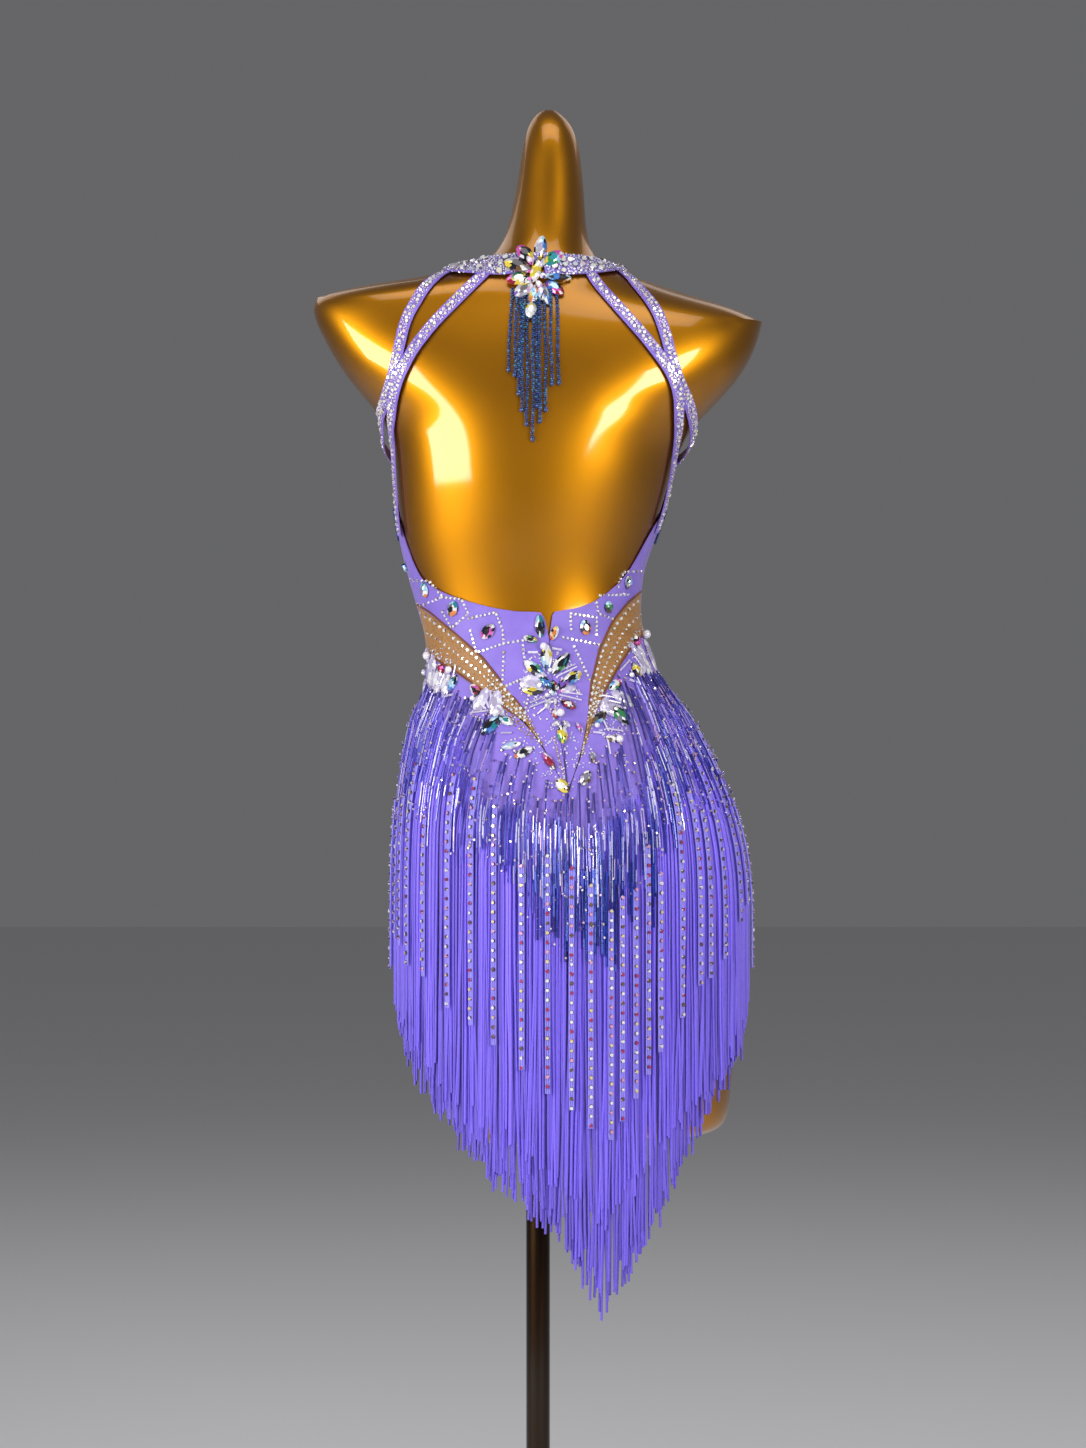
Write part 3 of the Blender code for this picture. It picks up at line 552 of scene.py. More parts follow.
# --- small shapes, modelled once and copied ----------------------------------------------------------


@dataclass
class Seed:
    """A small shape at unit size: it faces +Z, and its length runs along Y."""

    points: np.ndarray
    faces: list[tuple[int, ...]]
    normals: np.ndarray
    middles: np.ndarray

    @classmethod
    def take(cls) -> "Seed":
        """Take the active object's mesh as a small shape, and remove the object."""
        piece = bpy.context.object
        mesh = piece.data
        points = np.array([vertex.co[:] for vertex in mesh.vertices])
        faces = [tuple(face.vertices) for face in mesh.polygons]
        normals = np.array([face.normal[:] for face in mesh.polygons])
        middles = np.array([face.center[:] for face in mesh.polygons])
        bpy.data.objects.remove(piece, do_unlink=True)
        return cls(points, faces, normals, middles)

    def in_order(self) -> "Seed":
        """The same shape with its faces listed from the foot up, so that their order never varies."""
        order = np.lexsort(self.middles.round(4).T)
        return Seed(self.points, [self.faces[i] for i in order], self.normals[order], self.middles[order])

    @classmethod
    def round_stone(cls, sides: int = 8, table: float = 0.35) -> "Seed":
        """A cut stone with a flat table and sloping facets, 1 across.

        Args:
            sides: How many facets go round.
            table: The flat table's radius.

        Returns:
            The shape.
        """
        deselect()
        bpy.ops.mesh.primitive_cone_add(
            vertices=sides, radius1=0.5, radius2=table, depth=0.34, location=(0, 0, 0.17)
        )
        bpy.ops.object.transform_apply()
        return cls.take()

    @classmethod
    def navette(cls, sides: int = 12, waist: float = 0.5) -> "Seed":
        """A long stone, pointed at both ends, with two tiers of facets, 1 long.

        Args:
            sides: How many facets go round.
            waist: How wide it is for its length.

        Returns:
            The shape.
        """
        deselect()
        bpy.ops.mesh.primitive_circle_add(vertices=sides, radius=0.5, fill_type="NGON")
        for vertex in bpy.context.object.data.vertices:
            vertex.co.x *= waist * (1.15 - 0.3 * abs(vertex.co.y))
        bpy.ops.object.mode_set(mode="EDIT")
        bpy.ops.mesh.select_all(action="SELECT")
        for rise, share in ((0.12, 0.96), (0.13, 0.68), (0.07, 0.62)):
            bpy.ops.mesh.extrude_region_move(TRANSFORM_OT_translate={"value": (0, 0, rise)})
            bpy.ops.transform.resize(value=(share, share, 1.0))
        bpy.ops.object.mode_set(mode="OBJECT")
        return cls.take().in_order()

    @classmethod
    def bead(cls) -> "Seed":
        """A round bead, 1 across."""
        deselect()
        bpy.ops.mesh.primitive_ico_sphere_add(subdivisions=2, radius=0.5)
        return cls.take()

    @classmethod
    def bugle(cls, sides: int = 6) -> "Seed":
        """A thin tube bead with flat sides that lies along Y, 1 long and 1 thick."""
        deselect()
        bpy.ops.mesh.primitive_cylinder_add(
            vertices=sides, radius=0.5, depth=1.0, rotation=(math.pi / 2, 0, 0)
        )
        bpy.ops.object.transform_apply()
        return cls.take()


def mesh_piece(
    name: str, points: np.ndarray, faces: list[tuple[int, ...]], tints: np.ndarray
) -> bpy.types.Object:
    """Make a piece whose faces carry their own colours.

    Args:
        name: The piece's name.
        points: Its vertices.
        faces: Its faces, as vertex numbers.
        tints: A colour for each face.

    Returns:
        The new piece, picked.
    """
    mesh = bpy.data.meshes.new(name)
    mesh.from_pydata(points.tolist(), [], faces)
    corners = np.repeat(tints, [len(face) for face in faces], axis=0)
    layer = mesh.color_attributes.new(TINT_LAYER, "FLOAT_COLOR", "CORNER")
    layer.data.foreach_set("color", np.hstack([corners, np.ones((len(corners), 1))]).ravel())
    piece = bpy.data.objects.new(name, mesh)
    bpy.context.scene.collection.objects.link(piece)
    pick(piece)
    return piece


@dataclass
class Scatter:
    """Many copies of one small shape, gathered into one mesh."""

    seed: Seed
    points: list[np.ndarray] = field(default_factory=list)
    tints: list[np.ndarray] = field(default_factory=list)

    def add(self, seat: Seat, along: Vector, size: tuple[float, float, float], tint: np.ndarray) -> None:
        """Place one copy.

        Args:
            seat: Where it sits and which way it faces.
            along: The way that its length points, before it is laid flat on the seat.
            size: Its width, length and height in metres.
            tint: One colour for the whole copy, or one for each of its faces.
        """
        normal = seat.normal.normalized()
        length = (along - normal * along.dot(normal)).normalized()
        turn = np.array([length.cross(normal), length, normal])
        self.points.append((self.seed.points * size) @ turn + np.array(seat.point))
        shape = (len(self.seed.faces), 3)
        self.tints.append(np.broadcast_to(np.asarray(tint, dtype=float).reshape(-1, 3), shape))

    def build(self, name: str, finish: Finish, *nodes: str, smooth: bool = False) -> bpy.types.Object:
        """Make the mesh and sew it on.

        Args:
            name: The piece's name.
            finish: Its finish.
            nodes: The solids that it replaces.
            smooth: Whether it is shaded round.

        Returns:
            The new piece.
        """
        step = len(self.seed.points)
        starts = range(0, len(self.points) * step, step)
        faces = [tuple(start + v for v in face) for start in starts for face in self.seed.faces]
        piece = mesh_piece(name, np.concatenate(self.points), faces, np.concatenate(self.tints))
        if smooth:
            bpy.ops.object.shade_smooth()
        return enlist(piece, finish, *nodes)


@dataclass
class Cords:
    """Many thin round cords, gathered into one mesh."""

    sides: int = 6
    points: list[np.ndarray] = field(default_factory=list)
    faces: list[tuple[int, ...]] = field(default_factory=list)
    tints: list[Colour] = field(default_factory=list)
    count: int = 0

    def add(self, path: np.ndarray, radius: float, tint: np.ndarray) -> None:
        """Add one cord.

        Args:
            path: The points that it follows, mostly downwards.
            radius: Its radius in metres.
            tint: One colour for the whole cord, or one for each step of the path.
        """
        turn = np.linspace(0, 2 * math.pi, self.sides, endpoint=False)
        ahead = np.gradient(path, axis=0)
        ahead /= np.linalg.norm(ahead, axis=1, keepdims=True)
        across = np.cross(ahead, (0.0, 1.0, 0.12))
        across /= np.linalg.norm(across, axis=1, keepdims=True)
        other = np.cross(ahead, across)
        ring = across[:, None] * np.cos(turn)[None, :, None] + other[:, None] * np.sin(turn)[None, :, None]
        self.points.append((path[:, None] + radius * ring).reshape(-1, 3))
        rows, n, base = len(path), self.sides, self.count
        for j in range(rows - 1):
            for i in range(n):
                a, b = base + j * n + i, base + j * n + (i + 1) % n
                self.faces.append((a, b, b + n, a + n))
        self.faces.append(tuple(base + i for i in reversed(range(n))))
        self.faces.append(tuple(base + (rows - 1) * n + i for i in range(n)))
        rings = np.broadcast_to(tint, (rows - 1, 3))
        self.tints.extend([*np.repeat(rings, n, axis=0), rings[0], rings[-1]])
        self.count += rows * n

    def build(self, name: str, finish: Finish, *nodes: str, slot: str | None = None) -> bpy.types.Object:
        """Make the mesh, shaded round, and sew it on.

        Args:
            name: The piece's name.
            finish: Its finish.
            nodes: The solids that it replaces.
            slot: The record's material slot, if it isn't the finish's usual one.

        Returns:
            The new piece.
        """
        piece = mesh_piece(name, np.concatenate(self.points), self.faces, np.array(self.tints))
        bpy.ops.object.shade_smooth_by_angle(angle=math.radians(65))
        return enlist(piece, finish, *nodes, slot=slot)


# --- colours of the small things ---------------------------------------------------------------------


# The colours of facets, by letter: the stones' own colours and painted flashes of reflected light, with w a
# painted glint and k a painted dark reflection.
TINTS: dict[str, Colour] = {
    "w": (1.00, 0.99, 0.97), "c": (0.62, 0.56, 0.76), "g": (0.30, 0.29, 0.36), "k": (0.015, 0.015, 0.025),
    "y": (0.95, 0.74, 0.08), "o": (0.90, 0.28, 0.06), "r": (0.42, 0.02, 0.06), "m": (0.86, 0.12, 0.58),
    "p": (0.92, 0.56, 0.84), "v": (0.26, 0.12, 0.58), "b": (0.07, 0.24, 0.72), "s": (0.46, 0.74, 0.96),
    "t": (0.02, 0.30, 0.36), "e": (0.06, 0.34, 0.12), "n": (0.20, 0.11, 0.05),
}


def paint(pattern: str, seed: Seed, rng: np.random.Generator) -> np.ndarray:
    """Colour a long stone's facets from a pattern of letters, which holds painted reflections as well as the
    stone's own colours.

    Args:
        pattern: Four letters from foot to head for the left side, then four for the right side.
        seed: The stone.
        rng: The source of the few facets that are painted white as glints or black as dark reflections.

    Returns:
        One colour a face.
    """
    shades = np.array([TINTS[letter] for letter in pattern])
    bands = np.clip(((seed.middles[:, 1] + 0.5 + rng.uniform(-0.04, 0.04)) * 4).astype(int), 0, 3)
    colours = shades[bands + 4 * (seed.middles[:, 0] > 0)]
    chance = rng.random(len(colours))
    colours[chance < 0.08] = TINTS["w"]
    colours[chance > 0.91] = TINTS["k"]
    return colours * rng.uniform(0.85, 1.0, (len(colours), 1))


def draw(rng: np.random.Generator, shares: Sequence[tuple[Colour, int]], count: int = 1) -> np.ndarray:
    """Draw some colours by their shares.

    Args:
        rng: The source of the draws.
        shares: The colours, each with its share.
        count: How many are drawn.

    Returns:
        The drawn colours.
    """
    colours = np.array([colour for colour, _ in shares])
    weights = np.array([weight for _, weight in shares], dtype=float)
    return colours[rng.choice(len(colours), size=count, p=weights / weights.sum())]


class Sparkle(Enum):
    """Sets of facet colours: those of the table, and those of the facets round it, each with its share. They
    mix the stones' own colours with painted light: the mostly white tables are painted highlights, and the
    darker facets round them painted reflections.
    """

    PALE = (
        (((1.00, 0.99, 0.96), 8), ((0.96, 0.90, 0.70), 2), ((0.84, 0.86, 1.00), 2), ((0.66, 0.58, 0.46), 1)),
        (((0.20, 0.15, 0.17), 5), ((0.58, 0.54, 0.58), 3), ((0.96, 0.95, 0.93), 3), ((0.42, 0.32, 0.18), 2)),
    )
    AURORA = (
        (((0.98, 0.97, 0.98), 5), ((0.94, 0.82, 0.60), 1), ((0.95, 0.62, 0.80), 1), ((0.62, 0.78, 0.98), 2),
         ((0.70, 0.60, 0.90), 2)),
        (((0.36, 0.28, 0.56), 5), ((0.80, 0.78, 0.92), 2), ((0.14, 0.10, 0.24), 3), ((0.50, 0.58, 0.50), 1)),
    )
    BROWN = (
        (((0.92, 0.84, 0.70), 3), ((0.40, 0.22, 0.10), 3), ((0.66, 0.46, 0.24), 2), ((1.0, 0.98, 0.94), 2)),
        (((0.18, 0.08, 0.04), 4), ((0.50, 0.32, 0.16), 3), ((0.80, 0.72, 0.62), 1)),
    )
    STRIP = (
        (((1.00, 0.97, 0.94), 6), ((0.90, 0.72, 0.36), 3), ((0.20, 0.12, 0.06), 2), ((0.50, 0.05, 0.16), 2),
         ((0.86, 0.40, 0.62), 2)),
        (((0.10, 0.05, 0.14), 6), ((0.55, 0.34, 0.50), 2), ((0.84, 0.80, 0.92), 1)),
    )
    CRUST = (
        (((1.00, 1.00, 1.00), 9), ((0.98, 0.92, 0.76), 3), ((0.84, 0.88, 1.00), 2), ((0.96, 0.76, 0.86), 1),
         ((0.48, 0.44, 0.34), 2)),
        (((0.16, 0.13, 0.15), 4), ((0.56, 0.53, 0.56), 5), ((0.98, 0.97, 0.98), 4), ((0.30, 0.25, 0.36), 3)),
    )
    LILAC = (
        (((0.95, 0.93, 1.00), 3), ((0.66, 0.56, 0.93), 5), ((0.93, 0.80, 0.62), 2), ((0.90, 0.66, 0.84), 2),
         ((0.36, 0.26, 0.62), 2)),
        (((0.36, 0.28, 0.62), 6), ((0.58, 0.49, 0.86), 4), ((0.16, 0.10, 0.26), 3), ((0.88, 0.84, 0.94), 1)),
    )
    CREAM = (
        (((1.00, 0.98, 0.90), 7), ((0.96, 0.86, 0.60), 2), ((0.96, 0.74, 0.84), 1)),
        (((0.34, 0.26, 0.34), 3), ((0.70, 0.62, 0.70), 4), ((0.98, 0.95, 0.90), 3)),
    )
    DOT = (
        (((0.90, 0.80, 0.86), 4), ((0.80, 0.50, 0.68), 3), ((0.70, 0.56, 0.32), 2), ((0.10, 0.08, 0.28), 2)),
        (((0.12, 0.08, 0.32), 5), ((0.52, 0.42, 0.74), 3)),
    )

    def facets(self, rng: np.random.Generator, seed: Seed) -> np.ndarray:
        """Draw a colour for each face of a small stone: painted highlights and painted reflections among the
        stone's own colours.

        Args:
            rng: The source of the draws.
            seed: The stone.

        Returns:
            One colour a face.
        """
        tables, sides = self.value
        colours = draw(rng, sides, len(seed.faces))
        colours[seed.normals[:, 2] > 0.95] = draw(rng, tables)
        return colours


# --- the form and its stand --------------------------------------------------------------------------


@dataclass
class DressForm:
    """The gold limbless form."""

    levels: int = 2

    def build(self) -> bpy.types.Object:
        """Smooth the plain form and lacquer it."""
        return enlist(smooth_copy("form", "gold_form", levels=self.levels), Finish.GOLD, "form")


@dataclass
class Stand:
    """The round base plate with its hub, and the pole."""

    sides: int = 96
    rim: float = 1.6 * MM
    thickness: float = 9.0 * MM
    hub_radius: float = 20.0 * MM
    slope: float = 4.0 * MM
    slack: float = 0.5 * MM

    def build(self) -> None:
        """Build the plate and the pole."""
        self.plate()
        self.pole()

    def round_bar(self, name: str, sides: int, radius: float, low: float, high: float) -> bpy.types.Object:
        """An upright round bar.

        Args:
            name: The piece's name.
            sides: How many sides it has.
            radius: Its radius in metres.
            low: The height of its foot in metres.
            high: The height of its top in metres.

        Returns:
            The new piece.
        """
        deselect()
        bpy.ops.mesh.primitive_cylinder_add(
            vertices=sides, radius=radius, depth=high - low, location=(0, 0, (high + low) / 2)
        )
        piece = bpy.context.object
        piece.name = name
        bpy.ops.object.transform_apply()
        return piece

    def finish(self, piece: bpy.types.Object, node: str) -> None:
        """Round a piece's edges, paint it and put it in place of its plain solid.

        Args:
            piece: The piece.
            node: The solid that it replaces.
        """
        modify(piece, "BEVEL", width=self.rim, segments=3, limit_method="ANGLE")
        bpy.ops.object.shade_smooth_by_angle(angle=math.radians(35))
        enlist(piece, Finish.BRONZE, node)

    def plate(self) -> None:
        """The plate: a disc whose middle is drawn up into a hub with a bore for the pole."""
        _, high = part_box("base_plate")
        pole_low, pole_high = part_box("pole")
        radius, hub_top = high[0], high[2]
        piece = self.round_bar("stand_plate", self.sides, radius, 0.0, self.thickness)
        bpy.ops.object.mode_set(mode="EDIT")
        bpy.ops.mesh.select_all(action="DESELECT")
        bpy.ops.object.mode_set(mode="OBJECT")
        for face in piece.data.polygons:
            face.select = face.normal.z > 0.9
        bpy.ops.object.mode_set(mode="EDIT")
        bpy.ops.mesh.select_mode(type="FACE")
        bpy.ops.mesh.inset(thickness=radius - self.hub_radius - self.slope)
        bpy.ops.mesh.inset(thickness=self.slope, depth=self.slope)
        bpy.ops.mesh.extrude_region_move(
            TRANSFORM_OT_translate={"value": (0, 0, hub_top - self.thickness - self.slope)}
        )
        bpy.ops.mesh.inset(thickness=self.hub_radius - pole_high[0] - self.slack)
        bpy.ops.mesh.extrude_region_move(
            TRANSFORM_OT_translate={"value": (0, 0, pole_low[2] - hub_top - self.slack)}
        )
        bpy.ops.object.mode_set(mode="OBJECT")
        self.finish(piece, "base_plate")

    def pole(self) -> None:
        """The pole: a plain round tube."""
        low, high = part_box("pole")
        self.finish(self.round_bar("stand_pole", self.sides // 2, high[0], low[2], high[2]), "pole")


# --- the cloth ---------------------------------------------------------------------------------------


class Fold(NamedTuple):
    """A drag line in the cloth: where it starts and ends, how wide and how deep it is, in millimetres."""

    start: Place
    end: Place
    width: float
    depth: float


BACK_FOLDS = (
    Fold((4, 1066), (-34, 1086), 5.0, -1.3),
    Fold((4, 1062), (-48, 1074), 4.0, 1.1),
    Fold((2, 1056), (-40, 1056), 5.0, -1.1),
    Fold((3, 1050), (-30, 1034), 4.5, 0.9),
    Fold((16, 1066), (50, 1088), 5.0, -1.3),
    Fold((17, 1061), (58, 1076), 4.0, 1.1),
    Fold((18, 1054), (52, 1058), 5.0, -1.1),
    Fold((17, 1048), (44, 1036), 4.5, 0.9),
    Fold((-88, 1108), (-116, 1140), 5.0, 1.1),
    Fold((84, 1112), (104, 1140), 5.0, 1.1),
)
# The outline of the small notch at the middle of the back opening's edge, and the height of its foot.
NOTCH: tuple[Place, ...] = (
    (-22, 1087.6), (-4, 1087.2), (3.6, 1086.6), (6.6, 1080.5), (10.6, 1068.5), (13.4, 1081.0),
    (15.6, 1087.2), (24, 1088.6), (36, 1091.0),
)
NOTCH_FOOT = 1050.0


def sharpen_notch(piece: bpy.types.Object) -> None:
    """Bring the top edge of a waist panel to the notch's outline.

    Args:
        piece: The panel.
    """
    left, right = NOTCH[0][0] - 2, NOTCH[-1][0] + 2
    near = [v for v in piece.data.vertices if v.co.y < 0 and left * MM < v.co.x < right * MM]
    across = np.array([v.co.x for v in near]) / MM
    heights = np.array([v.co.z for v in near]) / MM
    for vertex, x, z in zip(near, across, heights):
        top = heights[np.abs(across - x) < 1.9].max()
        fade = min(1.0, (x - left) / 8, (right - x) / 8)
        if z > NOTCH_FOOT and top > NOTCH_FOOT + 5:
            share = (z - NOTCH_FOOT) / (top - NOTCH_FOOT)
            vertex.co.z += (curve(NOTCH, x) - top) * share * fade * MM


@dataclass(frozen=True)
class Tip:
    """The point that a net insert runs out to, between the seams of its neighbours."""

    middle: Place
    neighbours: tuple[str, str]

    def target(self) -> Vector:
        """The point in space: midway between the neighbours' nearest corners."""
        spot = Vector(self.middle) * MM
        corners = []
        for node in self.neighbours:
            back = (v.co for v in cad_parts[node].data.vertices if v.co.y < 0)
            corners.extend(sorted(back, key=lambda co: (Vector((co.x, co.z)) - spot).length)[:4])
        return sum((co.copy() for co in corners), Vector()) / len(corners)

    def draw_out(self, shape: bmesh.types.BMesh) -> None:
        """Lengthen the insert's blunt end to the point.

        Args:
            shape: The insert's coarse mesh.
        """
        target = self.target()
        reach = min((vert.co - target).length for vert in shape.verts)
        ends = [
            face for face in shape.faces
            if (face.calc_center_median() - target).length < reach + 9 * MM
            and face.normal.dot((target - face.calc_center_median()).normalized()) > 0.35
        ]
        around = (face.normal for vert in ends[0].verts for face in vert.link_faces)
        out = sum((normal for normal in around if normal.y < -0.7), Vector()).normalized()
        made = bmesh.ops.extrude_face_region(shape, geom=ends)
        bmesh.ops.delete(shape, geom=ends, context="FACES_ONLY")
        corners = (item for item in made["geom"] if isinstance(item, bmesh.types.BMVert))
        moved = sorted(corners, key=lambda vert: vert.co[:])
        middle = sum((vert.co for vert in moved), Vector()) / len(moved)
        for vert in moved:
            off = vert.co - middle
            vert.co = target + out * (off.dot(out) * 0.8) + off * 0.03


TIPS = (
    Tip((4.6, 954.3), ("back_waist_left", "skirt_back_left")),
    Tip((42.8, 944.2), ("back_waist_right", "skirt_back_right")),
)


@dataclass
class Panel:
    """One sewn panel of the dress, and the size that it was cut to in metres."""

    node: str
    name: str
    flat: tuple[float, float]
    area: float
    held: str = "stretched"
    finish: Finish = Finish.CREPE
    folds: tuple[Fold, ...] = ()
    tip: Tip | None = None

    def build(self) -> bpy.types.Object:
        """Smooth the panel's plain wall, press its drag lines into it and dress it."""
        piece = smooth_copy(self.node, self.name, self.tip.draw_out if self.tip else None)
        if self.folds:
            sharpen_notch(piece)
        for fold in self.folds:
            self.press(piece, fold)
        return enlist(piece, self.finish, self.node)

    def press(self, piece: bpy.types.Object, fold: Fold) -> None:
        """Move the cloth out or in along one drag line.

        Args:
            piece: The panel.
            fold: The drag line.
        """
        start, end = (Vector(place) * MM for place in (fold.start, fold.end))
        run = end - start
        for vertex in piece.data.vertices:
            spot = Vector((vertex.co.x, vertex.co.z)) - start
            share = min(max(spot.dot(run) / run.length_squared, 0.0), 1.0)
            off = (spot - run * share).length / (fold.width * MM)
            if off <= 3 and vertex.co.y <= 0:
                out = Vector((vertex.co.x, vertex.co.y, 0)).normalized()
                vertex.co += out * (fold.depth * MM * (1 - 0.6 * share) * math.exp(-off * off))

    def declare(self, piece: bpy.types.Object, trims: Sequence[bpy.types.Object]) -> None:
        """Take the panel and the pieces sewn on it; nothing is done with them."""


# --- stone work --------------------------------------------------------------------------------------


def polyline(places: Sequence[Place], pitch: float) -> Iterator[Place]:
    """Walk along a line of places.

    Args:
        places: The line's corners, in millimetres.
        pitch: The step, in millimetres.

    Yields:
        Evenly spaced places along it.
    """
    corners = np.array(places, dtype=float)
    lengths = np.concatenate([[0], np.cumsum(np.linalg.norm(np.diff(corners, axis=0), axis=1))])
    count = max(1, round(lengths[-1] / pitch))
    for s in np.linspace(0, lengths[-1], count + 1):
        yield (float(np.interp(s, lengths, corners[:, 0])), float(np.interp(s, lengths, corners[:, 1])))


def between(one: Sequence[Place], two: Sequence[Place], share: float, steps: int = 11) -> list[Place]:
    """Blend two lines of places.

    Args:
        one: The first line.
        two: The second line.
        share: How far to go from the first to the second.
        steps: How many steps the blend has.

    Returns:
        The places of the line between them.
    """
    lines = [list(polyline(line, 1.0)) for line in (one, two)]
    blend = []
    for k in range(steps + 1):
        a, b = (line[round(k / steps * (len(line) - 1))] for line in lines)
        blend.append((a[0] + (b[0] - a[0]) * share, a[1] + (b[1] - a[1]) * share))
    return blend


def inside(spot: Vector, corners: Sequence[Vector]) -> bool:
    """Tell whether a flat place lies inside an outline.

    Args:
        spot: The place.
        corners: The outline's corners, in order.

    Returns:
        True if it does.
    """
    crossings = 0
    for a, b in zip(corners, [*corners[1:], corners[0]]):
        if (a.y > spot.y) != (b.y > spot.y) and spot.x < a.x + (spot.y - a.y) / (b.y - a.y) * (b.x - a.x):
            crossings += 1
    return crossings % 2 == 1


@dataclass
class Crust:
    """Stones packed over the outside of a narrow band, with a plain edge towards the back opening.

    The first share of them are large, then come the middling ones, and fine ones fill the gaps. Sizes and
    margins are in metres.
    """

    rng: np.random.Generator
    large: tuple[float, float]
    middling: tuple[float, float]
    tries: int
    plain: float
    large_share: float = 0.012
    large_colours: Sparkle = Sparkle.CRUST
    ground: Sparkle = Sparkle.AURORA
    fine: tuple[float, float] = (1.3 * MM, 1.8 * MM)
    fine_start: float = 0.6
    margin: float = -0.2 * MM
    gap: float = -0.35 * MM
    tilt: float = 0.10
    opening: tuple[float, float, float] = (0.0, 0.0, 1.25)
    axis: tuple[float, float, float] = (0.0, 0.0, 1.36)

    def cover(self, piece: bpy.types.Object, stones: Scatter) -> None:
        """Throw stones at a band's outer faces and keep those that land clear of each other.

        Args:
            piece: The band.
            stones: Where the stones are gathered.
        """
        spots, normals = self.throws(piece)
        rim = np.array(sorted({end[:] for ends in sharp_edges(piece) for end in ends}))
        kept: dict[tuple[int, ...], list[tuple[np.ndarray, float]]] = {}
        for count, (spot, normal) in enumerate(zip(spots, normals)):
            band = (count > self.tries * self.large_share) + (count > self.tries * self.fine_start)
            width = self.rng.uniform(*(self.large, self.middling, self.fine)[band])
            away = rim - spot
            inner = away @ (np.array(self.opening) - spot) > 0
            edge = np.linalg.norm(away, axis=1) - np.where(inner, self.plain, self.margin) - width / 2
            cell = tuple(np.floor(spot / self.large[1]).astype(int))
            if edge.min() < 0 or self.crowded(kept, cell, spot, width):
                continue
            kept.setdefault(cell, []).append((spot, width))
            tilted = Vector(normal + self.rng.normal(0, self.tilt, 3)).normalized()
            colours = self.ground if band else self.large_colours
            stones.add(Seat(Vector(spot), tilted), Vector(self.rng.normal(size=3)), (width,) * 3,
                       colours.facets(self.rng, stones.seed))

    def crowded(self, kept: dict, cell: tuple[int, ...], spot: np.ndarray, width: float) -> bool:
        """True if a stone there would touch one that is already kept in its cell or the cells round it."""
        return any(
            np.linalg.norm(other - spot) < (width + size) / 2 + self.gap
            for step in np.ndindex(3, 3, 3)
            for other, size in kept.get(tuple(np.add(cell, step) - 1), ())
        )

    def throws(self, piece: bpy.types.Object) -> tuple[np.ndarray, np.ndarray]:
        """Draw random places on the band's outer faces.

        Args:
            piece: The band.

        Returns:
            The places, and the way that the band faces at each.
        """
        mesh = piece.data
        mesh.calc_loop_triangles()
        corners = np.array([v.co[:] for v in mesh.vertices])
        triangles = np.array([t.vertices[:] for t in mesh.loop_triangles])
        a, b, c = (corners[triangles[:, k]] for k in range(3))
        cross = np.cross(b - a, c - a)
        double = np.linalg.norm(cross, axis=1)
        normals = cross / np.maximum(double, 1e-12)[:, None]
        outside = (a + b + c) / 3 - np.array(self.axis)
        facing = np.einsum("ij,ij->i", normals, outside) > 0.25 * np.linalg.norm(outside, axis=1)
        weights = double * facing
        picks = self.rng.choice(len(weights), size=self.tries, p=weights / weights.sum())
        u, v = self.rng.random(self.tries), self.rng.random(self.tries)
        over = u + v > 1
        u[over], v[over] = 1 - u[over], 1 - v[over]
        return a[picks] + u[:, None] * (b - a)[picks] + v[:, None] * (c - a)[picks], normals[picks]


class Gem(NamedTuple):
    """A long stone: its middle, length and width in millimetres, its lean in degrees and its pattern of
    facet colours, painted glints and painted reflections among the stone's own colours.
    """

    middle: Place
    length: float
    width: float
    lean: float
    pattern: str = "wcwcccwc"

    def resized(self, length: float, width: float) -> "Gem":
        """The same stone, `length` times as long and `width` times as wide."""
        return self._replace(length=self.length * length, width=self.width * width)


# The lattice of rhinestone chains on the waist.
CHAINS: tuple[tuple[Place, ...], ...] = (
    ((-133, 1124), (-124, 1120), (-109, 1119), (-95, 1103), (-117, 1095), (-126, 1099)),
    ((-95, 1103), (-76, 1100), (-69, 1086), (-86, 1072), (-95, 1088)),
    ((-69, 1081), (-42, 1087), (-35, 1069), (-34, 1056), (-61, 1047), (-67, 1069)),
    ((-34, 1056), (-15, 1059)),
    ((-34, 1047), (-35, 1020)),
    ((-31, 1014), (-17, 1020)),
    ((-15, 1054), (-13, 1038)),
    ((-9, 1004), (-13, 988)),
    ((25, 1062), (60, 1055)),
    ((36, 1053), (51, 1020)),
    ((33, 1070), (32, 1086), (58, 1082), (58, 1065)),
    ((62, 1104), (90, 1106)),
    ((58, 1097), (60, 1086), (74, 1081)),
    ((80, 1113), (85, 1128), (108, 1130)),
)
# The upper and the lower edge of each net insert.
INSERTS = (
    (
        ((-124, 1098), (-108, 1088), (-81, 1065), (-55, 1042), (-33, 1014), (-13, 988)),
        ((-119, 1049), (-102, 1041), (-77, 1025), (-53, 1008), (-33, 992), (-13, 978)),
    ),
    (
        ((104, 1110), (90, 1098), (74, 1078), (61, 1050), (53, 1016), (50, 988)),
        ((111, 1069), (98, 1060), (82, 1036), (66, 1008), (55, 982)),
    ),
)
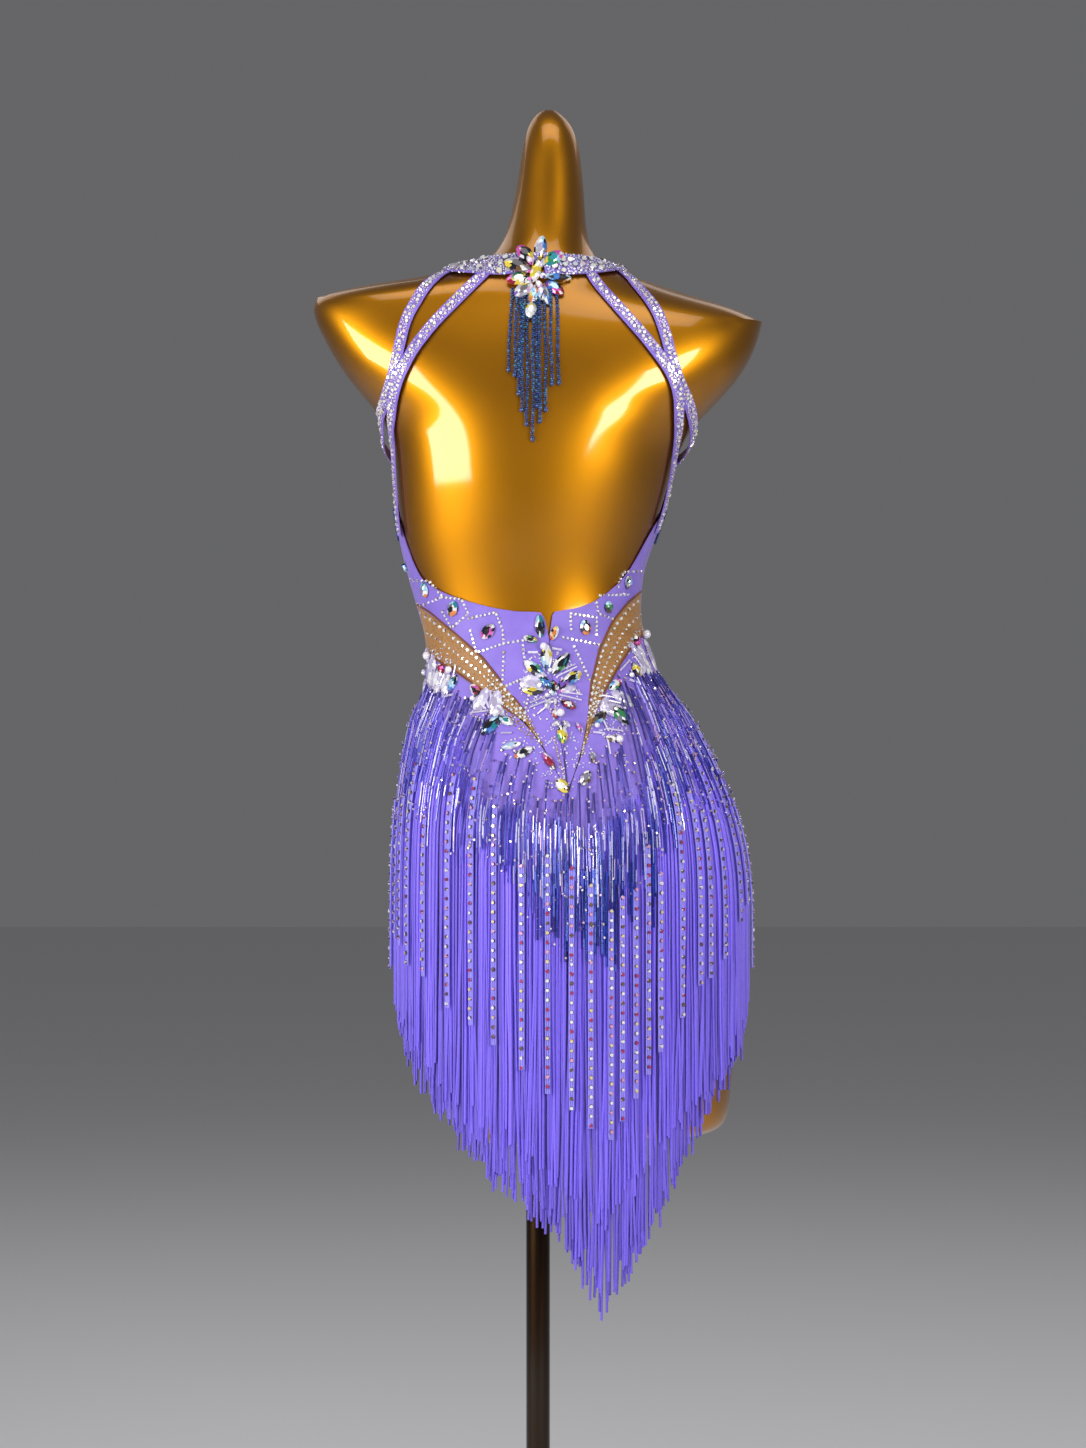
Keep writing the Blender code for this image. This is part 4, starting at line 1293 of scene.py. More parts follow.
# Each row of stones along an insert: how far it is across the net, its pitch and its stones' size.
INSERT_ROWS = ((0.15, 6.2, 4.1), (0.50, 5.6, 3.5), (0.84, 5.6, 3.5))
GEMS = (
    # the lattice
    Gem((-113, 1110.5), 16, 10.5, -12, "okgsowst"),
    Gem((-84.5, 1091), 17, 11, -28, "kkgsoowt"),
    Gem((-49.6, 1068), 19, 11, -42, "mkkgpmmw"),
    Gem((46.8, 1072), 16, 10.5, 12, "okgsookg"),
    Gem((70, 1092.5), 13, 9.5, 5, "nkeskges"),
    Gem((89.5, 1118), 14, 9, -10, "kgsgmnks"),
    Gem((-133, 1135), 10, 7, 0, "tktstsbk"),
    # above the flower
    Gem((2, 1073), 24, 9, 5, "wkwstkbt"),
    Gem((-7.5, 1060.5), 15, 7, 75, "eekwykew"),
    Gem((16, 1066), 16, 7.5, -25, "rooyoyww"),
    # the flower
    Gem((8.4, 1042.5), 26, 10.5, 0, "bskybwyw"),
    Gem((22.5, 1036), 28, 11, -38, "wwwgketk"),
    Gem((33, 1021), 25, 10.5, -54, "swywvbsy"),
    Gem((-4, 1031), 24, 10.5, 52, "bkywbesw"),
    Gem((-5, 1009), 22, 9, 84, "kkyywcgw"),
    Gem((7.5, 1017), 16, 8, 35, "kbtkbbkw"),
    Gem((15, 1011), 20, 9, -4, "wkekskrk"),
    Gem((23.5, 1014), 17, 8, -22, "vkvpmkvw"),
    Gem((30, 995), 17, 8, 62, "rkrknrkn"),
    Gem((10, 996), 13, 5, -25),
    Gem((17, 997), 13, 5, 5),
    Gem((17, 986), 11, 5.5, 10, "rowrrwww"),
    # below the flower
    Gem((24, 965.5), 20, 9.5, 6, "yeyweywg"),
    Gem((18, 976), 10, 5, -60),
    Gem((28, 976), 10, 5, 55),
    Gem((41, 972), 13, 4, 30, "pcmccwcp"),
    Gem((-14, 947.6), 21, 9, -62, "owkwowkw"),
    Gem((-26, 954.5), 20, 7, -80, "scswswcw"),
    Gem((11, 939), 21, 7, 33, "krrmnrrw"),
    Gem((24, 915), 18, 10.5, 40, "yywnnyyw"),
    Gem((47, 922.5), 17, 10, -25, "gcgwgngc"),
    Gem((54, 943), 12, 6, 0, "nggwngwg"),
    # the left clusters
    Gem((-47, 974), 26, 12.5, -46, "bkkskbtk"),
    Gem((-31, 979), 17, 8, 60, "wwtscwsk"),
    Gem((-61.5, 1009), 17, 9, 42, "krwwkrmw"),
    Gem((-96, 1031), 14, 7.5, 55, "rrnrrmrw"),
    Gem((-84.5, 1017), 18, 9, -35, "tskwbstk"),
    # the right clusters
    Gem((98.5, 1059), 13, 9.5, 20, "rmkwrrmk"),
    Gem((97.5, 1030), 17, 9.5, 10, "nkygykng"),
    Gem((76.5, 1014.5), 18, 9, -50, "sbwmweyr"),
    Gem((81, 985), 28, 13, 45, "kgekstkg"),
    Gem((61, 982), 19, 9, -42, "nkkwbsnk"),
    Gem((73, 961), 14, 6.5, 80, "nwnkwnww"),
)
# Clear tubes and petals sewn flat, in fans round the flower and in the hip clusters.
FANS = (
    Gem((4, 997), 25, 2.6, -67), Gem((2, 1001), 22, 2.2, -64), Gem((7, 992), 20, 2.2, -48),
    Gem((32, 1002), 23, 2.6, 77), Gem((35, 1006), 18, 2.2, 84), Gem((27, 1031), 22, 2.2, -66),
    Gem((29, 1028), 22, 2.0, -62), Gem((-5, 1047), 10, 3.8, 90), Gem((18.6, 1050), 10, 3.8, 82),
    Gem((-9, 1020), 16, 2.0, 84), Gem((-57.5, 988), 20, 3.0, 90), Gem((-31, 967), 11, 2.6, 88),
    Gem((-51, 999), 17, 3.4, 28), Gem((-46, 1001), 17, 3.4, 12), Gem((-56, 995), 15, 3.0, 52),
    Gem((-96, 1017), 20, 4.0, -38), Gem((-83, 1027), 13, 2.6, -15), Gem((-89, 1004), 14, 3.8, 88),
    Gem((-110, 1035), 10, 4.2, 88), Gem((-104, 1022), 16, 3.0, -30), Gem((69, 1003), 13, 3.0, 88),
    Gem((74, 998), 15, 2.6, 86), Gem((60, 967), 12, 3.0, 86), Gem((75, 970), 18, 3.0, 88),
    Gem((66, 976), 17, 3.0, 20), Gem((95, 1018), 11, 4.2, 88), Gem((101, 1036), 18, 2.6, 40),
    Gem((86, 1034), 18, 2.8, -48), Gem((70, 953), 15, 2.6, 4),
)
# Clear oval and half-round petals.
PETALS = (
    Gem((-7, 1016), 20, 15, 88, "gcwcccwc"), Gem((112, 1047), 32, 15, 4, "wcgcwccw"),
    Gem((117, 1053), 18, 8, -6, "ccwwcgcw"), Gem((103, 1047), 20, 8, 14, "cwcgwccc"),
    Gem((95, 1051), 15, 6, 30, "wccgccwc"), Gem((-111, 1046), 15, 7, 70, "cwccwcgc"),
    Gem((-119, 1032), 16, 8, 10, "gcwccwcc"), Gem((-42, 997), 23, 12, -8, "wcgcccwc"),
    Gem((74, 990), 24, 13, 84, "cgcwwccg"), Gem((-116, 1022), 15, 7, -35, "cwccgcwc"),
    Gem((-104, 1038), 17, 8, 48, "wccgcwcc"), Gem((-99, 1012), 16, 7, -70, "ccwcwcgc"),
    Gem((-90, 1024), 15, 7, 15, "cwgccwcc"), Gem((-56, 1000), 23, 12, -30, "wcccgwcc"),
    Gem((-38, 990), 15, 7, 35, "ccwgccwc"), Gem((112, 1060), 19, 9, 35, "cwccgcwc"),
    Gem((121, 1038), 16, 7, -18, "wccgcccw"), Gem((104, 1030), 15, 7, -40, "cgwccwcc"),
    Gem((66, 996), 15, 7, -25, "cwccwgcc"), Gem((84, 1001), 24, 12, 65, "wgccccwc"),
    Gem((1, 1026), 15, 7, 60, "cwgccwcc"), Gem((30, 1010), 15, 7, -70, "wccgcwcc"),
    Gem((-117, 1041), 30, 15, -8, "wcgccwcc"), Gem((-108, 1027), 28, 13, 22, "cwccgwcc"),
    Gem((-100, 1022), 25, 12, -52, "ccwgcwcw"), Gem((-92, 1013), 22, 10, 8, "cwwcgccw"),
    Gem((-113, 1013), 17, 8, 42, "gccwcwcc"), Gem((117, 1054), 30, 15, -28, "cwccgwcw"),
    Gem((106, 1037), 27, 12, 52, "wcgccwcc"),
)
# Round beads: across, height and size.
PEARLS = (
    (-121, 1050, 8.0), (-114, 1054, 7.0), (-122, 1041, 6.0), (-108, 1045, 7.0), (-118, 1033, 6.5),
    (-117, 1026, 5.5), (-112, 1028, 5.0), (-87, 1030, 6.0), (-40.6, 986.5, 7.0), (-64, 1001, 4.5),
    (5.7, 1052.5, 6.5), (22, 986, 7.0), (79.7, 960, 6.5), (114, 1069, 9.5), (105, 1065, 7.5),
    (120, 1062, 8.0), (121, 1044, 6.5), (92, 1024, 4.5), (58, 974, 4.5), (12, 1029, 4.0), (9, 1004, 4.0),
)
# Ground of fine clear beads under the clusters: middle, reach across, reach up and how many.
GROUNDS = (
    ((12, 1014), 30, 36, 260), ((-49, 990), 21, 19, 100), ((-103, 1030), 18, 24, 90),
    ((106, 1046), 17, 26, 90), ((74, 984), 20, 27, 120), ((26, 944), 32, 32, 130), ((-20, 952), 16, 12, 40),
)
# Small brown and gold beads that fill the tips of the net inserts, then run on down the seams.
TIP_FILLS = (
    ((-50, 1026), (-24, 1001), (-9, 984), (5, 957), (-2, 958), (-20, 972), (-31, 979), (-41, 998),
     (-50, 1008)),
    ((54, 1016), (51, 995), (43, 945), (57, 979), (66, 1008)),
)
TIP_SEAMS = (
    ((-2, 966), (8, 948), (28, 912)), ((46, 960), (43, 945), (30, 912)), ((16, 962), (20, 945), (28, 914)),
)
# The skirt's centre seam, dark at first and lavender lower down: radius, colour and line.
CENTRE_SEAM = (
    (0.55, (0.05, 0.03, 0.20), ((25.5, 955), (27.5, 930), (29.4, 911))),
    (1.1, (0.28, 0.18, 0.68), ((29.4, 911), (30.4, 906), (31.2, 885), (32.1, 865), (33, 842), (33.8, 822))),
)


@dataclass
class StoneWork:
    """All the stones sewn on the back: chains, the rows on the net inserts, gems, fans and pearls."""

    skin: Skin
    rng: np.random.Generator
    chain_pitch: float = 4.3
    chain_size: float = 3.5 * MM

    def build(self) -> dict[str, bpy.types.Object]:
        """Build every group of stones, and hand them back by what they are."""
        groups = (self.chains, self.rows, self.bindings, self.tips, self.grounds, self.gems, self.petals,
                  self.seams, self.fans, self.pearls)
        return {group.__name__: group() for group in groups}

    def set_stone(self, stones: Scatter, place: Place, width: float, colours: Sparkle) -> None:
        """Set one round stone on the back.

        Args:
            stones: Where it is gathered.
            place: Where it goes.
            width: How wide it is, in metres.
            colours: Its colours.
        """
        seat = self.skin.back(*place)
        if seat:
            along = Vector(self.rng.normal(size=3))
            stones.add(seat, along, (width,) * 3, colours.facets(self.rng, stones.seed))

    def string(
        self, stones: Scatter, line: Sequence[Place], pitch: float, size: float, colours: Sparkle
    ) -> None:
        """Set stones along a line on the back.

        Args:
            stones: Where they are gathered.
            line: The line's corners.
            pitch: How far apart they are, in millimetres.
            size: How wide they are, in metres.
            colours: Their colours.
        """
        for place in polyline(line, pitch):
            self.set_stone(stones, place, size * self.rng.uniform(0.85, 1.12), colours)

    def lay(self, shapes: Scatter, gem: Gem, thick: float, lift: float, tints: np.ndarray) -> None:
        """Lay one long stone or tube on the back.

        Args:
            shapes: Where it is gathered.
            gem: Its place and size.
            thick: Its thickness in millimetres.
            lift: How far its underside is off the cloth, in millimetres.
            tints: Its colours.
        """
        seat = self.skin.back(*gem.middle)
        lean = math.radians(gem.lean)
        along = Vector((-math.sin(lean), 0, math.cos(lean)))
        wide = gem.width * MM / np.ptp(shapes.seed.points[:, 0])
        if seat:
            shapes.add(seat.lifted(lift * MM), along, (wide, gem.length * MM, thick * MM), tints)

    def chains(self) -> bpy.types.Object:
        """The lattice of rhinestone chains on the waist."""
        stones = Scatter(Seed.round_stone())
        for line in CHAINS:
            self.string(stones, line, self.chain_pitch, self.chain_size, Sparkle.PALE)
        return stones.build("waist_chains", Finish.STONE)

    def rows(self) -> bpy.types.Object:
        """The three rows of stones along each net insert."""
        stones = Scatter(Seed.round_stone())
        for upper, lower in INSERTS:
            for share, pitch, size in INSERT_ROWS:
                self.string(stones, between(upper, lower, share), pitch, size * MM, Sparkle.PALE)
        return stones.build("insert_stones", Finish.STONE)

    def bindings(self) -> bpy.types.Object:
        """The brown bindings sewn along the edges of the net inserts."""
        bindings = Cords()
        for insert in INSERTS:
            for line in insert:
                path = self.skin.path(polyline(line, 3.0), 0.2 * MM)
                bindings.add(path, 1.25 * MM, np.array((0.2, 0.07, 0.02)))
        return bindings.build("net_bindings", Finish.BINDING)

    def tips(self) -> bpy.types.Object:
        """The brown and gold beads that crowd the tips of the inserts and run on down the seams."""
        stones = Scatter(Seed.round_stone(6))
        for outline in TIP_FILLS:
            corners = [Vector(place) for place in outline]
            low, high = np.min(outline, axis=0), np.max(outline, axis=0)
            kept: list[Vector] = []
            for _ in range(2600):
                spot = Vector((self.rng.uniform(low[0], high[0]), self.rng.uniform(low[1], high[1])))
                if not inside(spot, corners) or any((spot - other).length < 2.1 for other in kept):
                    continue
                kept.append(spot)
                self.set_stone(stones, tuple(spot), self.rng.uniform(1.8, 2.6) * MM, Sparkle.BROWN)
        for line in TIP_SEAMS:
            self.string(stones, line, 2.3, 2.2 * MM, Sparkle.BROWN)
        return stones.build("tip_stones", Finish.STONE)

    def grounds(self) -> bpy.types.Object:
        """The fine clear beads under the flower and the clusters."""
        stones = Scatter(Seed.round_stone(6))
        for (across, height), wide, tall, count in GROUNDS:
            for _ in range(count):
                turn, reach = self.rng.uniform(0, 2 * math.pi), math.sqrt(self.rng.random())
                place = (across + wide * reach * math.sin(turn), height + tall * reach * math.cos(turn))
                self.set_stone(stones, place, self.rng.uniform(1.6, 2.9) * MM, Sparkle.AURORA)
        return stones.build("ground_beads", Finish.GLASS)

    def gems(self) -> bpy.types.Object:
        """The pointed stones of the flower, the lattice and the clusters."""
        stones = Scatter(Seed.navette())
        for gem in GEMS:
            self.lay(stones, gem.resized(1.0, 1.12), 12.0, 0.8, paint(gem.pattern, stones.seed, self.rng))
        return stones.build("flower_gems", Finish.STONE, "applique_centre", "applique_point")

    def petals(self) -> bpy.types.Object:
        """The clear petals."""
        stones = Scatter(Seed.navette(waist=0.62))
        for gem in PETALS:
            # The petals' facet colours, painted glints and painted reflections among them, are kept no
            # darker than a pale grey.
            clear = np.maximum(paint(gem.pattern, stones.seed, self.rng), (0.44, 0.40, 0.48))
            self.lay(stones, gem.resized(1.15, 1.2), 9.0, 0.6, clear)
        return stones.build("clear_petals", Finish.GLASS)

    def seams(self) -> bpy.types.Object:
        """The piping over the centre seam of the skirt."""
        piping = Cords()
        for radius, colour, line in CENTRE_SEAM:
            piping.add(self.skin.path(polyline(line, 6.0), 0.3 * MM), radius * MM, np.array(colour))
        return piping.build("seam_piping", Finish.THREAD, slot="dress_cloth")

    def fans(self) -> bpy.types.Object:
        """The clear tubes."""
        tubes = Scatter(Seed.bugle(8))
        for fan in FANS:
            clear = np.array((0.74, 0.68, 0.84)) * self.rng.uniform(0.7, 1.3)
            slim = fan._replace(width=min(fan.width * 0.72, 2.6))
            self.lay(tubes, slim, slim.width, slim.width / 2 + 0.4, np.minimum(clear, 1.0))
        return tubes.build("clear_fans", Finish.GLASS, "applique_left_inner", "applique_right_inner")

    def pearls(self) -> bpy.types.Object:
        """The round beads in the clusters."""
        beads = Scatter(Seed.bead())
        for across, height, size in PEARLS:
            size *= 1.25 * MM
            seat = self.skin.back(across, height)
            if seat:
                beads.add(seat.lifted(size / 2), UP, (size,) * 3, np.array((0.92, 0.88, 0.90)))
        hips = ("applique_left_hip", "applique_right_hip")
        return beads.build("cluster_pearls", Finish.GLASS, *hips, smooth=True)


# --- the brooch and the bead tassels -----------------------------------------------------------------


class Petal(NamedTuple):
    """A long stone of the brooch: its foot and its tip, its width in millimetres and its pattern of facet
    colours, painted glints and painted reflections among the stone's own colours.
    """

    foot: Place
    tip: Place
    width: float
    pattern: str


@dataclass
class Brooch:
    """The starburst of pointed crystals on the back of the collar, with its navy bead tassel."""

    skin: Skin
    rng: np.random.Generator
    middle: float = -2.0
    petals: tuple[Petal, ...] = (
        Petal((0.4, 1436), (4.6, 1464), 11.5, "ywcwygbs"),
        Petal((-5.5, 1435), (-19.6, 1452.5), 12.5, "kkmmykkm"),
        Petal((7, 1432), (23.5, 1447), 12.5, "yetmtesm"),
        Petal((-7, 1427), (-34, 1435), 13.0, "gnkynkgw"),
        Petal((8, 1428), (32.5, 1417.5), 13.0, "sbkskgyk"),
        Petal((-8, 1422), (-31.5, 1414), 12.0, "kwyryeem"),
        Petal((8, 1418), (25, 1400), 11.5, "bskrvbmr"),
        Petal((-6, 1415), (-23, 1398), 12.5, "wpgcnycv"),
        Petal((-2, 1414), (-6.5, 1391), 9.5, "roswmsyo"),
        Petal((2, 1413), (4, 1394), 6.5, "pwvwwpsw"),
        Petal((5, 1414), (10, 1390), 7.0, "mwsbvsbw"),
        Petal((-5, 1395), (-9, 1376), 10.0, "ywwwyyww"),
    )
    heart: tuple[Petal, ...] = (
        Petal((-5.5, 1413), (0.5, 1437), 9.5, "wyywwwyw"),
        Petal((-4, 1424), (-15, 1428), 6.0, "pmpwmmpw"),
        Petal((2, 1428), (6, 1438), 5.0, "wccwcwwc"),
        Petal((1, 1422), (9, 1419), 6.0, "vbvwpwvw"),
        Petal((-5, 1419), (-13, 1412), 6.0, "wmcwycww"),
        Petal((-1, 1416), (3, 1406), 5.5, "wpwcwwcp"),
        Petal((-5, 1430), (-10, 1440), 5.5, "mpwwpwwm"),
    )
    # Each strand of the tassel: how far across it hangs and the height of its end.
    strands: tuple[tuple[float, float], ...] = (
        (-29, 1323), (-23, 1318), (-19, 1299), (-16, 1283), (-11, 1269), (-5, 1254), (-1, 1287), (2, 1272),
        (8, 1283), (14, 1309), (21, 1310),
    )
    strand_top: float = 1408.0
    pitch: float = 2.1
    width: float = 2.8
    twist: float = 0.85

    def build(self) -> list[bpy.types.Object]:
        """Build the star and the tassel."""
        return [self.star(), self.tassel()]

    def star(self) -> bpy.types.Object:
        """The star: long petals round a core of smaller stones."""
        stones = Scatter(Seed.navette())
        wide = MM / np.ptp(stones.seed.points[:, 0])
        layers = [(petal, 1.6 + 1.4 * (i % 2), 13.0) for i, petal in enumerate(self.petals)]
        for petal, lift, thick in [*layers, *((petal, 4.6, 11.0) for petal in self.heart)]:
            foot, tip = Vector(petal.foot), Vector(petal.tip)
            seat = self.skin.back(*((foot + tip) / 2))
            away = Vector((tip.x - foot.x, 0, tip.y - foot.y)).normalized()
            tilt = (seat.normal - away * 0.15).normalized()
            size = (petal.width * 1.18 * wide, (tip - foot).length * MM, thick * MM)
            stones.add(Seat(seat.lifted(lift * MM).point, tilt), away, size,
                       paint(petal.pattern, stones.seed, self.rng))
        return stones.build("brooch_star", Finish.STONE, "brooch")

    def tassel(self) -> bpy.types.Object:
        """The tassel: twisted pairs of strings of navy seed beads, each pair with a drop at its end."""
        beads = Scatter(Seed.bead())
        for i, (across, bottom) in enumerate(self.strands):
            wander = self.rng.uniform(0, 6.28)
            for k, height in enumerate(np.arange(bottom + 5, self.strand_top, self.pitch)):
                share = (height - bottom) / (self.strand_top - bottom)
                x = across + (self.middle - across) * 0.12 * share + 0.5 * math.sin(height / 14 + wander)
                side = math.cos(k * 1.3 + wander) * self.twist
                depth = math.sin(k * 1.3 + wander) * self.twist
                for sign in (-1, 1):
                    lift = self.width / 2 + 0.6 + self.twist + sign * depth + (i % 2) * 1.3
                    navy = np.array((0.010, 0.050, 0.20)) * self.rng.uniform(0.35, 1.9)
                    # About one bead in eight is painted teal as a painted glint on the navy beads.
                    if self.rng.random() < 0.12:
                        navy = np.array((0.05, 0.26, 0.46))
                    beads.add(self.skin.back(x + sign * side, height).lifted(lift * MM), UP,
                              (self.width * MM, 2.0 * MM, self.width * MM), navy)
            drop = self.skin.back(across, bottom + 3).lifted(2.6 * MM)
            beads.add(drop, UP, (4.6 * MM, 6.0 * MM, 4.6 * MM), np.array((0.012, 0.055, 0.22)))
        return beads.build("tassel_beads", Finish.BEAD, "brooch_tassel", smooth=True)


# --- the fringe --------------------------------------------------------------------------------------


# The fringe's lines round the hips, as rows of (turn, height): where its strings are sewn on, where the
# strings of tube beads lie close together and where they end, and the hems of the two outer layers.
START = (
    (-180, 925), (-135, 962), (-105, 1003), (-79, 1014), (-60, 1014), (-46, 1004), (-31.5, 984), (-25, 960),
    (-16, 946), (-11, 930), (-4, 922), (1.3, 922), (7.7, 938), (12, 952), (17.3, 968), (22, 1006),
    (25, 1026), (45, 1032), (60, 1030), (82, 1022), (105, 1005), (135, 962), (180, 925),
)
BEADS_TOP = (
    (-180, 925), (-120, 985), (-75, 1006), (-53, 996), (-42, 980), (-36, 935), (-27, 906), (-4, 892),
    (3, 876), (9, 892), (16, 900), (22, 918), (28, 955), (41, 985), (50, 1005), (71, 1010), (105, 1000),
    (180, 925),
)
BEADS_END = (
    (-180, 850), (-120, 868), (-72, 870), (-45, 858), (-24, 832), (-11, 772), (-4, 752), (1.3, 738),
    (11, 750), (16, 768), (21, 800), (32, 856), (52, 880), (120, 868), (180, 850),
)
UNDER_HEM = (
    (-180, 700), (-140, 700), (-90, 690), (-75, 664), (-59, 632), (-36, 565), (-18, 512), (-4, 474),
    (4.5, 428), (9.7, 404), (15.6, 430), (24, 478), (33, 532), (45, 592), (66, 645), (90, 690),
    (140, 700), (180, 700),
)
OVER_HEM = (
    (-180, 730), (-140, 730), (-90, 712), (-75, 690), (-59, 660), (-36, 604), (-18, 560), (-4, 524),
    (9.2, 486), (21, 540), (36, 592), (66, 664), (90, 706), (140, 730), (180, 730),
)
# Each strip of stones at the back: its turn, where it starts and where it ends.
STRIPS = (
    (-73, 900, 761), (-67, 904, 755), (-60, 936, 736), (-50, 884, 726), (-39, 926, 696), (-30.5, 922, 680),
    (-23, 895, 661), (-14.6, 837, 637), (-7.1, 847, 614), (-0.3, 835, 598), (5.2, 818, 580), (11, 793, 569),
    (14.3, 806, 587), (18.3, 814, 609), (22.1, 856, 632), (26, 829, 654), (33.4, 916, 687),
    (40.2, 909, 718), (44.6, 890, 725), (52, 955, 743), (63, 931, 780), (72, 970, 795),
)


class HangingSurface:
    """How far out from the hips' axis hanging strings lie, all round and at every height."""

    AXIS = Vector((0.034, 0.0))
    HALF_WIDTH = 0.178
    HALF_DEPTH = 0.123
    TOP = 1.040
    FALL = 0.790

    def __init__(self, skin: Skin) -> None:
        """Feel the cloth all round, and let the strings fall straight below its widest reach.

        Args:
            skin: The outside of the cloth.
        """
        self.turns = np.arange(-180.0, 181.0, 4.0)
        self.heights = np.arange(self.TOP, self.FALL - 0.001, -0.010)
        reach = np.zeros((len(self.turns), len(self.heights)))
        for i, turn in enumerate(self.turns):
            outward = Vector((*self.direction(turn), 0.0))
            for j, height in enumerate(self.heights):
                start = Vector((*self.AXIS, height)) + outward * skin.REACH
                seat = skin.probe(start, -outward)
                reach[i, j] = (seat.point.xy - self.AXIS).length if seat else 0.0
        self.reach = np.maximum.accumulate(reach, axis=1)

    def direction(self, turn: float) -> Vector:
        """The level direction that a turn stands for."""
        angle = math.radians(turn)
        return Vector((self.HALF_WIDTH * math.sin(angle), -self.HALF_DEPTH * math.cos(angle))).normalized()

    def radius(self, turn: float, height: float) -> float:
        """How far out hanging strings lie at a turn and a height in metres."""
        column = (turn + 180.0) / 4.0 % (len(self.turns) - 1)
        i = int(column)
        share = column - i
        one = np.interp(-height, -self.heights, self.reach[i])
        two = np.interp(-height, -self.heights, self.reach[i + 1])
        return float(one + (two - one) * share)

    def point(self, turn: float, height: float, out: float) -> Vector:
        """The point at a turn, a height and a distance `out` off the cloth, in metres."""
        away = self.direction(turn)
        place = self.AXIS + away * (self.radius(turn, height) + out)
        return Vector((place.x, place.y, height))

    def even_turns(self, pitch: float) -> np.ndarray:
        """Turns all round that lie `pitch` metres apart on the hips."""
        fine = np.linspace(-180.0, 180.0, 721)
        x = self.HALF_WIDTH * np.sin(np.radians(fine))
        y = self.HALF_DEPTH * np.cos(np.radians(fine))
        lengths = np.concatenate([[0], np.cumsum(np.hypot(np.diff(x), np.diff(y)))])
        count = int(lengths[-1] / pitch)
        return np.interp(np.linspace(0, lengths[-1], count, endpoint=False), lengths, fine)


class Tier(NamedTuple):
    """One layer of cords. Lengths are in millimetres."""

    name: str
    hem: tuple[Row, ...]
    drop: float  # how far above that hem its cords end
    out: float  # how far out they hang
    hidden: float  # how far below the fringe's start they are sewn on
    uneven: float
    # light: how much of the cord colour a layer keeps; below 1 it is painted shade that darkens the layers
    # under the outer one.
    light: float
    replaced: tuple[str, ...] = ()


class BeadSet(NamedTuple):
    """A set of tube beads: its colours with each one's share, its lengths and its width in millimetres."""

    shares: tuple[tuple[Colour, int], ...]
    lengths: tuple[float, ...]
    width: float


SEWN_BEADS = BeadSet(
    (((0.13, 0.12, 0.62), 6), ((0.06, 0.06, 0.45), 4), ((0.32, 0.28, 0.88), 6), ((0.75, 0.75, 0.98), 3),
     ((0.62, 0.42, 0.82), 1)), (9.0, 15.0, 21.0), 1.6,
)
SILVER_BEADS = BeadSet(
    (((0.80, 0.80, 0.98), 3), ((0.62, 0.60, 0.95), 5), ((0.16, 0.19, 0.68), 6), ((0.04, 0.05, 0.40), 4),
     ((0.74, 0.50, 0.84), 1)), (14.0, 20.0, 27.0), 1.3,
)
PALE_BEADS = BeadSet(
    (((0.86, 0.85, 1.00), 3), ((0.45, 0.37, 0.95), 8), ((0.29, 0.21, 0.93), 7), ((0.14, 0.15, 0.68), 3),
     ((0.06, 0.06, 0.42), 1), ((0.76, 0.52, 0.86), 1)), (18.0, 26.0, 36.0), 1.3,
)
NAVY_BEADS = BeadSet(
    (((0.006, 0.024, 0.24), 6), ((0.010, 0.036, 0.34), 5), ((0.02, 0.05, 0.44), 5),
     ((0.004, 0.014, 0.16), 3), ((0.10, 0.15, 0.66), 2)), (10.0, 15.0, 20.0), 2.2,
)


